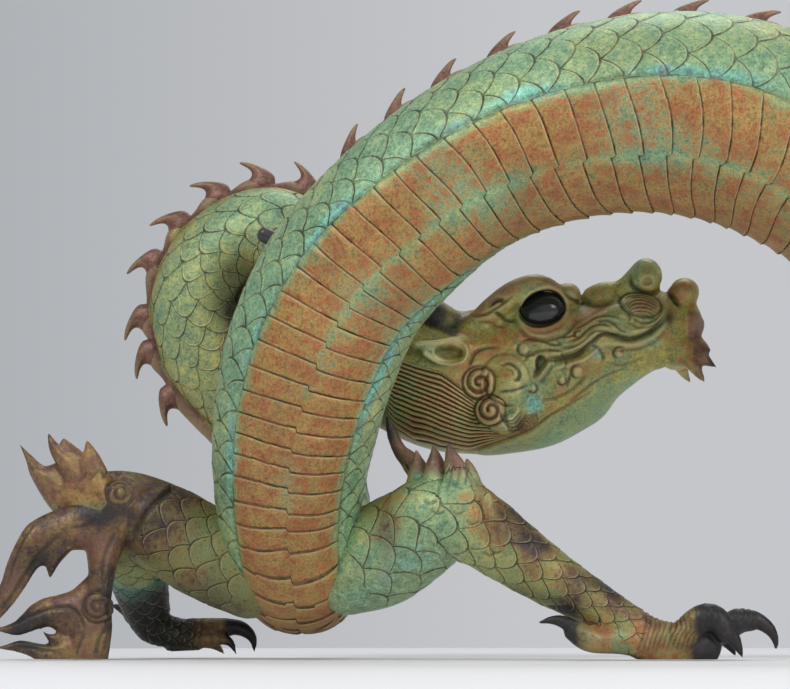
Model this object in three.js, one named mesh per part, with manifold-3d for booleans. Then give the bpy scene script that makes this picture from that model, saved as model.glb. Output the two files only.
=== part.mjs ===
// A cast dragon sculpture: the body rises in one great arch, the neck loops behind it and
// the head looks out through the arch. It stands on its feet and on a flame tuft.
// Millimetres, +Z up. The layout frame has X along the dragon and Y away from the viewer.
// The finished part stands on its soles with its origin under the middle of the bounding box.

import * as THREE from 'three';
import { mergeVertices } from 'three/addons/utils/BufferGeometryUtils.js';
import Module from 'manifold-3d';

const wasm = await Module();
wasm.setup();

// Driving dimensions
const LAYOUT_MIDDLE = { x: 687, y: 1 };     // the layout point that becomes the origin
const TRUNK_STEP = 60;                      // ring spacing along the outside of the bends
const CREST_HEIGHT = 9;                     // ridge along the spine
const CREST_HALF_ANGLE = 10;                // degrees of the section taken by the ridge
const HOOK = { length: 30, height: 23, halfWidth: 6 };
const NECK_HOOKS = { from: 133, pitch: 49, shortOfThroat: 160, size: 0.9 };  // pitch is along the crest
const BACK_HOOKS = { from: 953, pitch: 60, shortOfTip: 160, smallest: 0.45, shrinkOver: 500 };
const BELLY_HALF_ANGLE = 45;                // degrees of the section taken by the belly plates
const PLATE = { first: 18, last: 29, lip: 3.5 };   // lengths at the chest and at the top of the arch
const HEAD_MIRROR_Y = 106;                  // the head's own middle plane
const HIND_MIRROR_Y = -10;                  // the hips' middle plane
const CAP_DEPTH = 0.8;                      // depth of a tube's rounded end, as a part of its radius

const BRONZE = new THREE.MeshStandardMaterial({ color: 0x8a9468, roughness: 0.5, metalness: 0.6 });

// ---------------------------------------------------------------- shapes

const radians = THREE.MathUtils.degToRad;

// A station is a point on a path: its place, its radii [side, spine, belly] and its spine direction.
function at(x, y, z, radius, spine = [0, 0, 1]) {
  const r = Array.isArray(radius) ? radius : [radius, radius, radius];
  return { place: new THREE.Vector3(x, y, z), radii: new THREE.Vector3(...r), spine, skew: 0 };
}

// A station of the arch, with the degrees that its spine and its belly have turned from facing
// straight away from and at the viewer to the outside and the inside of the arch.
function turned(x, y, z, radius, spineTurn, bellyTurn) {
  return { ...at(x, y, z, radius, null), spineTurn, skew: spineTurn - bellyTurn };
}

function setTurnedSpines(stations) {
  stations.forEach((station, i) => {
    if (station.spine) return;
    const before = stations[i - 1].place;
    const after = stations[Math.min(i + 1, stations.length - 1)].place;
    const along = after.clone().sub(before);
    const inward = new THREE.Vector3(along.z, 0, -along.x).normalize();
    const turn = radians(station.spineTurn);
    const spine = new THREE.Vector3(0, Math.cos(turn), 0);
    station.spine = spine.addScaledVector(inward, -Math.sin(turn)).toArray();
  });
  return stations;
}

function makePath(stations) {
  const curve = (points) => new THREE.CatmullRomCurve3(points, false, 'catmullrom', 0.5);
  const centre = curve(stations.map((s) => s.place));
  centre.arcLengthDivisions = 60 * stations.length;
  const radii = curve(stations.map((s) => s.radii));
  const spines = curve(stations.map((s) => new THREE.Vector3(...s.spine)));
  const skews = curve(stations.map((s) => new THREE.Vector3(s.skew, 0, 0)));
  const length = centre.getLength();

  function frame(distance) {
    const t = centre.getUtoTmapping(THREE.MathUtils.clamp(distance / length, 0, 1));
    const along = centre.getTangent(t).normalize();
    const spine = spines.getPoint(t);
    spine.addScaledVector(along, -spine.dot(along)).normalize();
    const side = spine.clone().cross(along);
    const place = centre.getPoint(t);
    return { place, along, spine, side, radii: radii.getPoint(t), skew: skews.getPoint(t).x };
  }
  return { length, frame };
}

function evenAngles(sides) {
  return Array.from({ length: sides + 1 }, (_, i) => -180 + (360 * i) / sides);
}

// A closed tube along a path, made from a sphere whose rows become rings. The angles of a ring run
// once round, with 0 at the spine. relief(column, distance, index) is added to the radius.
function sweep(stations, { sides = 8, step = 22, cap = 1, rings = null, angles = null, relief = null } = {}) {
  const path = stations.frame ? stations : makePath(stations);
  const anglesAt = angles ?? (() => evenAngles(sides));
  const columns = anglesAt(path.frame(0)).length;
  const count = Math.max(2, Math.round(path.length / step));
  const distances = rings ?? Array.from({ length: count + 1 }, (_, i) => (path.length * i) / count);
  const rows = [];
  const capRow = (distance, sign, k) => {
    const a = (Math.PI / 2) * (k / (cap + 1));
    return { distance, grow: Math.sin(a), push: sign * Math.cos(a) };
  };
  for (let k = 0; k <= cap; k++) rows.push(capRow(distances[0], -1, k));
  distances.forEach((distance, index) => rows.push({ distance, grow: 1, push: 0, index }));
  for (let k = cap; k >= 0; k--) rows.push(capRow(distances.at(-1), 1, k));

  const geometry = new THREE.SphereGeometry(1, columns - 1, rows.length - 1);
  const position = geometry.attributes.position;
  rows.forEach((row, r) => {
    const frame = path.frame(row.distance);
    const centre = frame.place.clone().addScaledVector(frame.along, row.push * frame.radii.x * CAP_DEPTH);
    anglesAt(frame).forEach((angle, c) => {
      const a = radians(angle);
      const vertical = Math.cos(a) > 0 ? frame.radii.y : frame.radii.z;
      const extra = relief && row.index !== undefined ? relief(c, row.distance, row.index) : 0;
      const point = centre.clone()
        .addScaledVector(frame.side, row.grow * Math.sin(a) * (frame.radii.x + extra))
        .addScaledVector(frame.spine, row.grow * Math.cos(a) * (vertical + extra));
      position.setXYZ(r * columns + c, point.x, point.y, point.z);
    });
  });
  return geometry;
}

function ball(x, y, z, rx, ry, rz, { sides = 7, rows = 4, tilt = 0 } = {}) {
  const geometry = new THREE.SphereGeometry(1, sides, rows);
  return geometry.scale(rx, ry, rz).rotateY(radians(tilt)).translate(x, y, z);
}

function solid(geometry) {
  const bare = geometry.clone();
  bare.deleteAttribute('normal');
  bare.deleteAttribute('uv');
  const merged = mergeVertices(bare, 1e-3);
  return new wasm.Manifold(new wasm.Mesh({
    numProp: 3,
    vertProperties: new Float32Array(merged.attributes.position.array),
    triVerts: new Uint32Array(merged.index.array),
  }));
}

function join(geometries) {
  return geometries.map(solid).reduce((whole, piece) => whole.add(piece));
}

function geometryOf(manifold) {
  const mesh = manifold.getMesh();
  const geometry = new THREE.BufferGeometry();
  geometry.setAttribute('position', new THREE.BufferAttribute(mesh.vertProperties, mesh.numProp));
  geometry.setIndex(new THREE.BufferAttribute(mesh.triVerts, 1));
  return geometry;
}

// The same shape on the other side of an upright plane at y = middle.
function mirrored(geometry, middle) {
  const copy = geometry.clone().translate(0, -middle, 0).scale(1, -1, 1).translate(0, middle, 0);
  const index = copy.index.array;
  for (let i = 0; i < index.length; i += 3) [index[i], index[i + 1]] = [index[i + 1], index[i]];
  return copy;
}

function bothSides(geometries, middle) {
  return geometries.flatMap((geometry) => [geometry, mirrored(geometry, middle)]);
}

// ---------------------------------------------------------------- trunk: neck, chest, arch, hips and tail

const NECK = [
  at(473, 112, 293, 64, [0.2, 0, 1]),
  at(429, 117, 300, 65, [0.5, 0, 0.86]),
  at(377, 127, 334, 62, [0.65, 0, 0.75]),
  at(326, 140, 396, 59, [0.6, 0, 0.8]),
  at(267, 150, 437, 57, [0.1, 0, 1]),
  at(217, 155, 420, 55, [-0.65, 0, 0.76]),
  at(193, 157, 374, 56, [-1, 0, 0.1]),
  at(207, 156, 318, 58, [-1, -0.1, -0.2]),
  at(250, 152, 270, 61, [-0.8, -0.3, -0.6]),
  at(290, 145, 214, 64, [-0.5, -0.8, -0.4]),
  at(303, 131, 148, 67, [-0.1, -0.9, 0.35]),
  at(304, 100, 104, 68, [0, -0.6, 0.8]),
  at(299, 52, 92, 66, [0, 0, 1]),
  at(294, 8, 112, 67, [0, 0.75, 0.66]),
  at(290, -16, 160, 73, [0, 0.95, 0.32]),
];

const ARCH = [
  turned(295, -32, 219, 80, 12, 2),
  turned(311, -48, 290, 85, 34, 7),
  turned(343, -60, 362, 85, 57, 14),
  turned(393, -70, 420, 85, 64, 20),
  turned(457, -80, 472, 85, 66, 26),
  turned(529, -86, 507, 89, 68, 30),
  turned(605, -90, 527, 94, 70, 33),
  turned(683, -90, 530, 99, 71, 35),
  turned(763, -84, 512, 101, 73, 38),
  turned(845, -72, 465, 98, 76, 44),
  turned(918, -57, 390, 94, 80, 54),
  turned(970, -40, 303, 89, 85, 66),
  turned(1012, -25, 215, 83, 90, 78),
  turned(1064, -12, 147, 76, 90, 88),
];

const TAIL = [
  turned(1147, 5, 108, 64, 90, 90),
  turned(1243, 25, 108, 50, 90, 90),
  turned(1330, 38, 160, 40, 90, 90),
  turned(1376, 30, 240, 30, 90, 90),
  turned(1372, 10, 325, 22, 90, 90),
  turned(1322, 0, 385, 14, 90, 90),
];

const TRUNK_STATIONS = setTurnedSpines([...NECK, ...ARCH, ...TAIL]);
const TRUNK = makePath(TRUNK_STATIONS);

function distanceOf(station) {
  let best = 0;
  let nearest = Infinity;
  for (let d = 0; d <= TRUNK.length; d += 1) {
    const gap = TRUNK.frame(d).place.distanceTo(station.place);
    if (gap < nearest) [best, nearest] = [d, gap];
  }
  return best;
}

const THROAT = distanceOf(NECK[10]);
const CHEST = distanceOf(NECK[12]);
const ARCH_TOP = distanceOf(ARCH[7]);
const PLATES_END = distanceOf(ARCH[9]);
const RIDGE_RESTARTS = distanceOf(ARCH[0]);

const ramp = THREE.MathUtils.smoothstep;

// The ridge is full height on neck and arch, and fades inside the fold between neck and chest.
function ridgeHeight(distance) {
  const neck = ramp(distance, 0, 120) * (1 - ramp(distance, THROAT - NECK_HOOKS.shortOfThroat, THROAT));
  const tailFade = 1 - ramp(distance, TRUNK.length - 300, TRUNK.length);
  const back = ramp(distance, CHEST + 60, RIDGE_RESTARTS) * tailFade;
  return CREST_HEIGHT * Math.max(neck, back);
}

// Trunk distances spaced evenly along the outermost line of the bends, or along the crest alone.
function evenlySpaced(from, to, pitch, crestOnly = false) {
  const lines = crestOnly ? [[0, 1]] : [[0, 1], [0, -1], [1, 0], [-1, 0]];
  const spots = (d) => {
    const { place, side, spine, radii } = TRUNK.frame(d);
    return lines.map(([a, b]) => place.clone()
      .addScaledVector(side, a * radii.x)
      .addScaledVector(spine, b * radii.y));
  };
  const distances = [from];
  let last = spots(from);
  let travelled = 0;
  for (let d = from + 2; d < to - 1; d += 2) {
    const now = spots(d);
    travelled += Math.max(...now.map((spot, i) => spot.distanceTo(last[i])));
    last = now;
    if (travelled < pitch) continue;
    distances.push(d);
    travelled -= pitch;
  }
  return distances;
}

// Edges of the belly plates, from the chest over the arch; the plates grow longer on the way up.
function plateEdges() {
  const edges = [CHEST + 20];
  while (edges.at(-1) < PLATES_END) {
    const upArch = ramp(edges.at(-1), CHEST, ARCH_TOP);
    edges.push(edges.at(-1) + THREE.MathUtils.lerp(PLATE.first, PLATE.last, upArch));
  }
  return edges;
}

// Each belly plate swells towards its far edge and drops there by its lip, in a step made by two
// rings at one distance; away from the belly the two rings are one.
function trunk() {
  const plates = plateEdges();
  const rings = evenlySpaced(0, plates[0], TRUNK_STEP);
  const lips = new Set();
  for (let i = 1; i < plates.length; i++) {
    rings.push(plates[i - 1], plates[i]);
    lips.add(rings.length - 1);
  }
  rings.push(...evenlySpaced(plates.at(-1), TRUNK.length, TRUNK_STEP), TRUNK.length);

  // Columns of a ring: belly middle, plate edge, near flank, ridge, wider far flank, belly middle.
  const belly = (middle) => [middle - BELLY_HALF_ANGLE * 0.4, middle - BELLY_HALF_ANGLE];
  const angles = ({ skew }) => {
    const [near, far] = [180 - skew, 180 + skew];
    const nearFlank = [0.73, 0.39].map((part) => part * (near - BELLY_HALF_ANGLE));
    const farFlank = [0.25, 0.52, 0.78].map((part) => part * (far - BELLY_HALF_ANGLE));
    return [
      -near, ...[...belly(near), ...nearFlank].map((a) => -a), -CREST_HALF_ANGLE, 0, CREST_HALF_ANGLE,
      ...farFlank, ...belly(far).toReversed(), far,
    ];
  };
  const bellyColumns = [0, 1, 12, 13];
  const relief = (column, distance, index) => {
    if (column === 6) return ridgeHeight(distance);
    return lips.has(index) && bellyColumns.includes(column) ? PLATE.lip : 0;
  };
  return sweep(TRUNK, { rings, angles, relief, cap: 2 });
}

// One hook of the crest: a flat thorn that leans towards the tail.
function hook(distance, size) {
  const foot = TRUNK.frame(distance);
  const rise = foot.radii.y + ridgeHeight(distance);
  const place = (ahead, up, width, thick) => {
    const p = foot.place.clone()
      .addScaledVector(foot.along, ahead * size)
      .addScaledVector(foot.spine, rise + up * size);
    return at(p.x, p.y, p.z, [width * size, thick * size, thick * size], foot.side.toArray());
  };
  return sweep([
    place(-3, -8, HOOK.length * 0.48, HOOK.halfWidth),
    place(5, HOOK.height * 0.45, HOOK.length * 0.26, HOOK.halfWidth * 0.7),
    place(15, HOOK.height, HOOK.length * 0.03, 1),
  ], { sides: 4, step: 16, cap: 0 });
}

function crestHooks() {
  const neck = evenlySpaced(NECK_HOOKS.from, THROAT - NECK_HOOKS.shortOfThroat, NECK_HOOKS.pitch, true);
  const back = evenlySpaced(BACK_HOOKS.from, TRUNK.length - BACK_HOOKS.shortOfTip, BACK_HOOKS.pitch, true);
  const backSize = (d) => {
    const size = (TRUNK.length - d) / BACK_HOOKS.shrinkOver;
    return THREE.MathUtils.clamp(size, BACK_HOOKS.smallest, 1);
  };
  return [...neck.map((d) => hook(d, NECK_HOOKS.size)), ...back.map((d) => hook(d, backSize(d)))];
}

function tailTuft() {
  const root = TRUNK_STATIONS.at(-1).place;
  const flame = (bend, length, width) => sweep([
    at(root.x + 10, root.y, root.z - 12, [width, 9, 9], [0, 1, 0]),
    at(root.x - 0.35 * length, root.y, root.z + bend * 0.25 * length, [width, 8, 8], [0, 1, 0]),
    at(root.x - 0.7 * length, root.y, root.z + bend * 0.7 * length, [width * 0.6, 6, 6], [0, 1, 0]),
    at(root.x - 0.75 * length, root.y, root.z + bend * length, [1.5, 1.5, 1.5], [0, 1, 0]),
  ], { sides: 5, step: 30, cap: 0 });
  return [flame(1, 110, 20), flame(0.45, 95, 17), flame(-0.35, 80, 14)];
}

// ---------------------------------------------------------------- legs

// A thorn from root to tip, bent at its middle.
function thorn(root, middle, tip, sides = 4) {
  return sweep([at(...root), at(...middle), at(...tip, 1.2)], { sides, step: 25, cap: 0 });
}

function digit(stations) {
  return sweep(stations, { sides: 5, step: 17, cap: 0 });
}

function leftForeleg() {
  const limb = sweep([
    at(345, 12, 88, 46), at(378, -2, 101, 51), at(412, -18, 121, 48), at(444, -36, 140, 43),
    at(476, -44, 127, 37), at(512, -48, 102, 32), at(551, -50, 76, 27), at(590, -50, 53, 22),
    at(619, -48, 35, [20, 20, 24]), at(648, -47, 22, [18, 18, 27]),
    at(680, -48, 18, [16, 16, 24]), at(703, -46, 14, [13, 13, 20]),
  ], { sides: 8, step: 32, cap: 1 });
  const nearDigit = digit([
    at(676, -58, 24, 16), at(694, -60, 40, 14), at(709, -61, 36, 13), at(717, -62, 20, 11),
    at(724, -62, 11, 8), at(733, -62, 2, 1.5),
  ]);
  const middleDigit = digit([
    at(688, -36, 17, 13), at(713, -32, 24, 12), at(731, -30, 36, 13), at(744, -30, 38, 12),
    at(755, -30, 33, 9), at(762, -30, 24, 6), at(765, -30, 12, 1.5),
  ]);
  const farDigit = digit([
    at(682, -20, 18, 14), at(706, -4, 28, 12), at(720, 3, 23, 10), at(729, 7, 12, 7), at(735, 9, 2, 1.5),
  ]);
  const thumb = digit([
    at(612, -58, 19, 14), at(583, -72, 20, 13), at(563, -77, 32, 10), at(547, -78, 38, 7),
    at(531, -78, 31, 1.5),
  ]);
  const elbowThorns = [
    thorn([418, -24, 168, 15], [397, -18, 208, 9], [386, -14, 241]),
    thorn([420, -38, 168, 9], [417, -40, 190, 6], [416, -40, 206]),
    thorn([440, -50, 162, 13], [435, -54, 187, 9], [432, -54, 209]),
    thorn([462, -58, 148, 20], [454, -64, 184, 13], [447, -66, 213], 5),
    thorn([472, -40, 158, 9], [469, -42, 180, 5], [466, -42, 198]),
    thorn([493, -62, 102, 19], [488, -74, 137, 13], [485, -78, 163], 5),
  ];
  return [limb, nearDigit, middleDigit, farDigit, thumb, ...elbowThorns];
}

function rightForeleg() {
  const upperArm = sweep([
    at(255, 20, 84, 46), at(208, 22, 104, 46), at(172, 22, 125, 45), at(135, 18, 144, 41),
    at(102, 10, 154, 35),
    at(78, 6, 166, 25),
  ], { sides: 8, step: 32, cap: 1 });
  const forearm = sweep([
    at(122, 26, 132, 38), at(128, 56, 108, 34), at(134, 84, 78, 29), at(140, 104, 50, 24),
    at(148, 113, 32, 19),
    at(174, 116, 25, 15), at(199, 118, 24, 13),
  ], { sides: 7, step: 32, cap: 0 });
  const digits = [
    digit([at(185, 117, 25, 15), at(210, 118, 27, 13), at(226, 118, 30, 10), at(240, 118, 25, 7),
      at(251, 118, 9, 1.5)]),
    digit([at(190, 112, 20, 12), at(212, 108, 20, 9), at(226, 106, 15, 6), at(232, 105, 4, 1.5)]),
    digit([at(165, 124, 20, 14), at(190, 138, 18, 11), at(206, 144, 12, 7), at(217, 147, 4, 1.5)]),
    digit([at(136, 120, 36, 13), at(120, 127, 44, 9), at(101, 128, 54, 1.5)]),
  ];
  const elbowFins = [
    thorn([80, 8, 168, 22], [48, 6, 193, 12], [21, 4, 214], 5),
    thorn([82, -4, 176, 20], [62, -6, 203, 11], [50, -6, 227], 5),
    thorn([96, -12, 182, 14], [92, -16, 202, 6], [90, -18, 217]),
    thorn([108, 32, 172, 24], [82, 38, 205, 10], [58, 40, 224], 5),
  ];
  return [upperArm, forearm, ...digits, ...elbowFins];
}

function hindLeg() {
  const limb = sweep([
    at(1085, -35, 140, 58), at(1052, -92, 158, 52), at(1012, -140, 156, 40), at(1004, -168, 122, 32),
    at(1028, -184, 82, 26), at(1052, -190, 48, 22), at(1044, -194, 24, [21, 21, 31]),
    at(1012, -198, 18, [19, 19, 27]), at(990, -200, 14, [13, 13, 20]),
  ], { sides: 7, step: 36, cap: 1 });
  const toe = (spread) => digit([
    at(1012, -198 + spread * 0.3, 19, 14), at(988, -202 + spread * 0.8, 30, 13),
    at(970, -204 + spread, 24, 11),
    at(950, -205 + spread * 1.15, 2, 1.5),
  ]);
  const spur = thorn([1050, -192, 22, 14], [1074, -194, 26, 9], [1090, -195, 14]);
  const kneeThorns = [
    thorn([1010, -150, 180, 16], [1002, -158, 205, 9], [1004, -160, 228]),
    thorn([1034, -138, 190, 16], [1030, -146, 214, 9], [1036, -150, 236]),
    thorn([996, -162, 156, 14], [980, -172, 172, 8], [974, -174, 192]),
  ];
  return [limb, toe(-26), toe(0), toe(26), spur, ...kneeThorns];
}

// ---------------------------------------------------------------- flame tuft under the right elbow

function flameTuft() {
  const facing = [0, -1, 0];
  const flame = (points, options = {}) => sweep(
    points.map(([x, z, width, thick]) => at(x, -14, z, [width, thick, thick], facing)),
    { sides: 5, step: 28, cap: 0, ...options },
  );
  const stem = sweep([
    at(116, 0, 156, [34, 30, 26], facing), at(112, -10, 127, [31, 20, 20], facing),
    at(110, -14, 97, [21, 15, 15], facing), at(100, -15, 70, [18, 14, 14], facing),
    at(94, -15, 44, [24, 16, 16], facing), at(88, -15, 10, [28, 18, 18], facing), at(87, -15, -8,
    [28, 18, 18], facing),
  ], { sides: 7, step: 32, cap: 0 });
  return [
    stem,
    flame([[96, 130, 30, 16], [62, 122, 25, 13], [34, 96, 18, 11], [13, 62, 11, 8], [-6, 33, 6, 5],
      [-30, 16, 1.5, 1.5]]),
    flame([[70, 122, 16, 10], [57, 100, 8, 7], [56, 79, 1.2, 1.2]]),
    flame([[106, 78, 12, 12], [84, 60, 17, 13], [52, 47, 14, 11], [30, 38, 11, 9], [6, 27, 6, 6],
      [-30, 34, 1.5, 1.5]]),
    flame([[95, 8, 16, 16], [60, 5, 9, 12], [30, 7, 8, 9], [4, 19, 4, 6], [-22, 25, 1.5, 1.5]]),
    flame([[80, 16, 9, 8], [58, 22, 5, 6], [45, 24, 1.5, 2]], { step: 18 }),
    ball(124, -26, 164, 13, 14, 13),
    ball(101, -32, 48, 14, 9, 14),
  ];
}

// ---------------------------------------------------------------- head, mane and horns

function skull() {
  const up = [-0.2, 0, 1];
  return sweep([
    at(352, 133, 352, [56, 52, 56], [0.5, 0, 0.86]), at(395, 122, 312, [68, 60, 70], [0.3, 0, 0.95]),
    at(440, 113, 292, [72, 60, 74], [0, 0, 1]), at(473, 110, 294, [68, 64, 76], up),
    at(504, 108, 300, [63, 66, 87], up), at(535, 106, 307, [58, 68, 87], up), at(566, 104, 315,
    [54, 62, 82], up),
    at(597, 102, 327, [48, 46, 66], up), at(628, 100, 340, [43, 38, 52], up), at(659, 98, 347,
    [40, 40, 42], up),
    at(686, 96, 346, [34, 34, 33], up), at(698, 95, 340, [22, 24, 22], up),
  ], { sides: 12, step: 28, cap: 1 });
}

function headFeatures() {
  const paired = [
    ball(548, 60, 358, 23, 12, 19, { tilt: -20 }),                                     // eye
    sweep([at(464, 66, 334, 9), at(490, 62, 351, 13), at(520, 58, 370, 15), at(550, 60, 378, 15),
      at(572, 66, 364, 9)],
      { sides: 5, step: 40, cap: 0 }),                                                  // brow ridge
    ball(653, 80, 384, 22, 20, 21),                                                     // nostril
    ball(688, 84, 366, 19, 18, 19),                                                     // front of the snout
    ball(507, 58, 293, 34, 22, 34),                                                     // cheek
    sweep([at(484, 60, 312, 12), at(458, 48, 312, [10, 15, 13]), at(410, 32, 315, 1.5)],
      { sides: 5, step: 30, cap: 0 }),                                                  // ear
    thorn([682, 84, 328, 15], [712, 78, 307, 7], [728, 77, 295]),                       // barb of the chin
  ];
  // The carving of the side that faces the viewer; the far side stays plainer.
  const nearOnly = [
    ball(582, 78, 364, 14, 18, 13),                                                     // bump before the eye
    sweep([at(600, 92, 362, 12), at(622, 88, 370, 16), at(645, 82, 386, 14)], { sides: 5, step: 30, cap: 0 }),
    ball(588, 66, 322, 46, 22, 22, { tilt: -12 }),                                      // upper lip
    ball(480, 56, 266, 18, 16, 19),                                                     // hair curls
    ball(490, 60, 244, 22, 18, 16),
    thorn([688, 86, 332, 13], [712, 86, 322, 6], [724, 86, 312]),                       // more barbs
    thorn([686, 78, 316, 12], [704, 74, 294, 7], [715, 72, 278]),
  ];
  const horns = [
    [at(470, 80, 318, 18), at(405, 69, 349, 14), at(333, 65, 385, 12), at(272, 65, 425, 9),
      at(246, 65, 444, 5)],
    [at(470, 132, 318, 18), at(410, 178, 345, 14), at(345, 214, 382, 12), at(285, 232, 424, 9),
      at(262, 236, 446, 5)],
  ].map((stations) => sweep(stations, { sides: 6, step: 52, cap: 1 }));
  return [...bothSides(paired, HEAD_MIRROR_Y), ...nearOnly, ...horns];
}

// ---------------------------------------------------------------- the casting

function dragon() {
  const whole = join([
    trunk(), ...crestHooks(), ...tailTuft(),
    ...leftForeleg(), ...rightForeleg(), ...bothSides(hindLeg(), HIND_MIRROR_Y),
    ...flameTuft(), skull(), ...headFeatures(),
  ]);
  const ground = solid(new THREE.BoxGeometry(3000, 3000, 200).translate(700, 0, -100));
  return new THREE.Mesh(geometryOf(whole.subtract(ground)), BRONZE);
}

const sculpture = new THREE.Group();
const casting = dragon();
casting.name = 'dragon';
casting.position.set(-LAYOUT_MIDDLE.x, -LAYOUT_MIDDLE.y, 0);
sculpture.add(casting);

export default sculpture;
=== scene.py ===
"""A cast bronze dragon: one great arch of a body, a looped neck and a carved head.

Run as a script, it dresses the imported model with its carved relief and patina.
Sizes in the tables are millimetres in the sculptor's layout frame; meshes are metres.
"""

import math

import bmesh
import bpy
import numpy as np
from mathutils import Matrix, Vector


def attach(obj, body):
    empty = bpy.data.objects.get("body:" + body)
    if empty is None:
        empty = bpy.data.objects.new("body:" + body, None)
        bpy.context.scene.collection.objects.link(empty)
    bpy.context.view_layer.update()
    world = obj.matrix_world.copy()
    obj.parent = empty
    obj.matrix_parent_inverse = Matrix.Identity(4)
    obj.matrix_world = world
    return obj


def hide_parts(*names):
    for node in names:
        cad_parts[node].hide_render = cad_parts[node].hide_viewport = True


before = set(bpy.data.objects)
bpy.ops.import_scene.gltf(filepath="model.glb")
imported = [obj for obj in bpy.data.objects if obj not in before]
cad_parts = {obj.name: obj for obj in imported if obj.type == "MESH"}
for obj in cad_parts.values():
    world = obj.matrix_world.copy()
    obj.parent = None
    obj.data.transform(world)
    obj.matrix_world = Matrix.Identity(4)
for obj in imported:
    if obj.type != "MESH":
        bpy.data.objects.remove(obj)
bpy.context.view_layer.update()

bl_info = {
    "name": "Cast Bronze Dragon",
    "version": (1, 0, 0),
    "blender": (4, 5, 0),
    "location": "3D View > Sidebar > Dragon",
    "description": "Builds the carved relief and the patina of a cast bronze dragon",
    "category": "Object",
}

NODE = "dragon"
BODY = "root"
LAYOUT_MIDDLE = np.array([687.0, 1.0, 0.0])     # the layout point that is the origin
HEAD_MIDDLE = 106.0                             # y of the head's own middle plane
HIPS_MIDDLE = -10.0                             # y of the hips' middle plane
CREST_ANGLE = 10.0                              # half of the section taken by the crest, degrees
BELLY_ANGLE = 45.0                              # half of the section taken by the belly plates
CREST_HEIGHT = 9.0                              # full height of the ridge along the spine
CAP_DEPTH = 0.8                                 # depth of a tube's dome, as a part of its radius
STATION_STEPS = 60                              # samples of a path between two stations
SEARCH_STEP = 1.5                               # spacing of samples where a path is searched
SEARCH_BLOCK = 20000                            # points searched at a time, to save memory
PAST_END = 40                                   # how far beyond a path's end a point may count
BLADE_SIDES = 20                                # columns round a thorn or flame
BLADE_STEP = 2.0                                # spacing of its rows
SPIRAL_STEP = 0.8                               # spacing of the points of a spiral
LIMB_REACH = 1.3                                # scales stop at this part of the limb's radius
# how coarse each fused piece is: the side of its quads in millimetres
VOXELS = {
    "head": 2.55, "left_foreleg": 1.7, "right_foreleg": 1.9, "near_hind_leg": 2.3,
    "far_hind_leg": 2.3, "flame_tuft": 1.7, "tail_tuft": 2.0,
}


# ---------------------------------------------------------------- numbers


def linear(code):
    """Turn an sRGB hex colour into linear red, green and blue."""
    parts = [int(code[i:i + 2], 16) / 255 for i in (1, 3, 5)]
    return tuple(c / 12.92 if c <= 0.04045 else ((c + 0.055) / 1.055) ** 2.4 for c in parts)


def ramp(x, low, high):
    """Rise smoothly from 0 at low to 1 at high."""
    t = np.clip((x - low) / (high - low), 0.0, 1.0)
    return t * t * (3 - 2 * t)


def bell(x, width):
    """Give 1 at 0, fading to nothing over about twice the width."""
    return np.exp(-(x / width) ** 2)


def drift(points, size, seed):
    """Vary slowly between about -1 and 1, in patches of the given size."""
    dice = np.random.default_rng(seed)
    total = np.zeros(points.shape[:-1])
    for _ in range(5):
        way = dice.normal(size=3)
        way *= 2 * math.pi / (size * dice.uniform(1.4, 2.6)) / np.linalg.norm(way)
        total += np.sin(points @ way + dice.uniform(0, 6.28))
    return total / 3.2


def catmull(knots, t):
    """Read a Catmull-Rom curve through evenly spaced knots at t from 0 to 1."""
    knots = np.asarray(knots, float)
    ends = [2 * knots[0] - knots[1]], [2 * knots[-1] - knots[-2]]
    knots = np.concatenate([ends[0], knots, ends[1]])
    place = np.clip(t, 0, 1) * (len(knots) - 3)
    i = np.minimum(place.astype(int), len(knots) - 4)
    w = (place - i)[:, None]
    a, b, c, d = knots[i], knots[i + 1], knots[i + 2], knots[i + 3]
    m, n = (c - a) / 2, (d - b) / 2
    return (2 * b - 2 * c + m + n) * w**3 + (3 * c - 3 * b - 2 * m - n) * w**2 + m * w + b


def line(knots, step=1.0):
    """Give points every step along a smooth curve through the knots."""
    knots = np.asarray(knots, float)
    if len(knots) == 1:
        return knots
    fine = catmull(knots, np.linspace(0, 1, 24 * len(knots)))
    run = np.concatenate([[0], np.cumsum(np.linalg.norm(np.diff(fine, axis=0), axis=1))])
    stops = np.linspace(0, run[-1], max(2, int(run[-1] / step) + 1))
    return np.stack([np.interp(stops, run, fine[:, i]) for i in range(fine.shape[1])], 1)


def spiral(x, z, outer, inner, start, turns):
    """Give the points of a flat spiral that winds in from its outer radius; angles in degrees."""
    t = np.linspace(0, 1, max(12, int(abs(turns) * 4 * (outer + inner) / SPIRAL_STEP)))
    radius = outer + (inner - outer) * t
    angle = np.radians(start + 360 * turns * t)
    return np.stack([x + radius * np.cos(angle), z + radius * np.sin(angle)], 1)


def fan(knots, step, k):
    """Shift the knots of a curve k times by their own steps."""
    return np.asarray(knots) + k * np.asarray(step)


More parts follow.
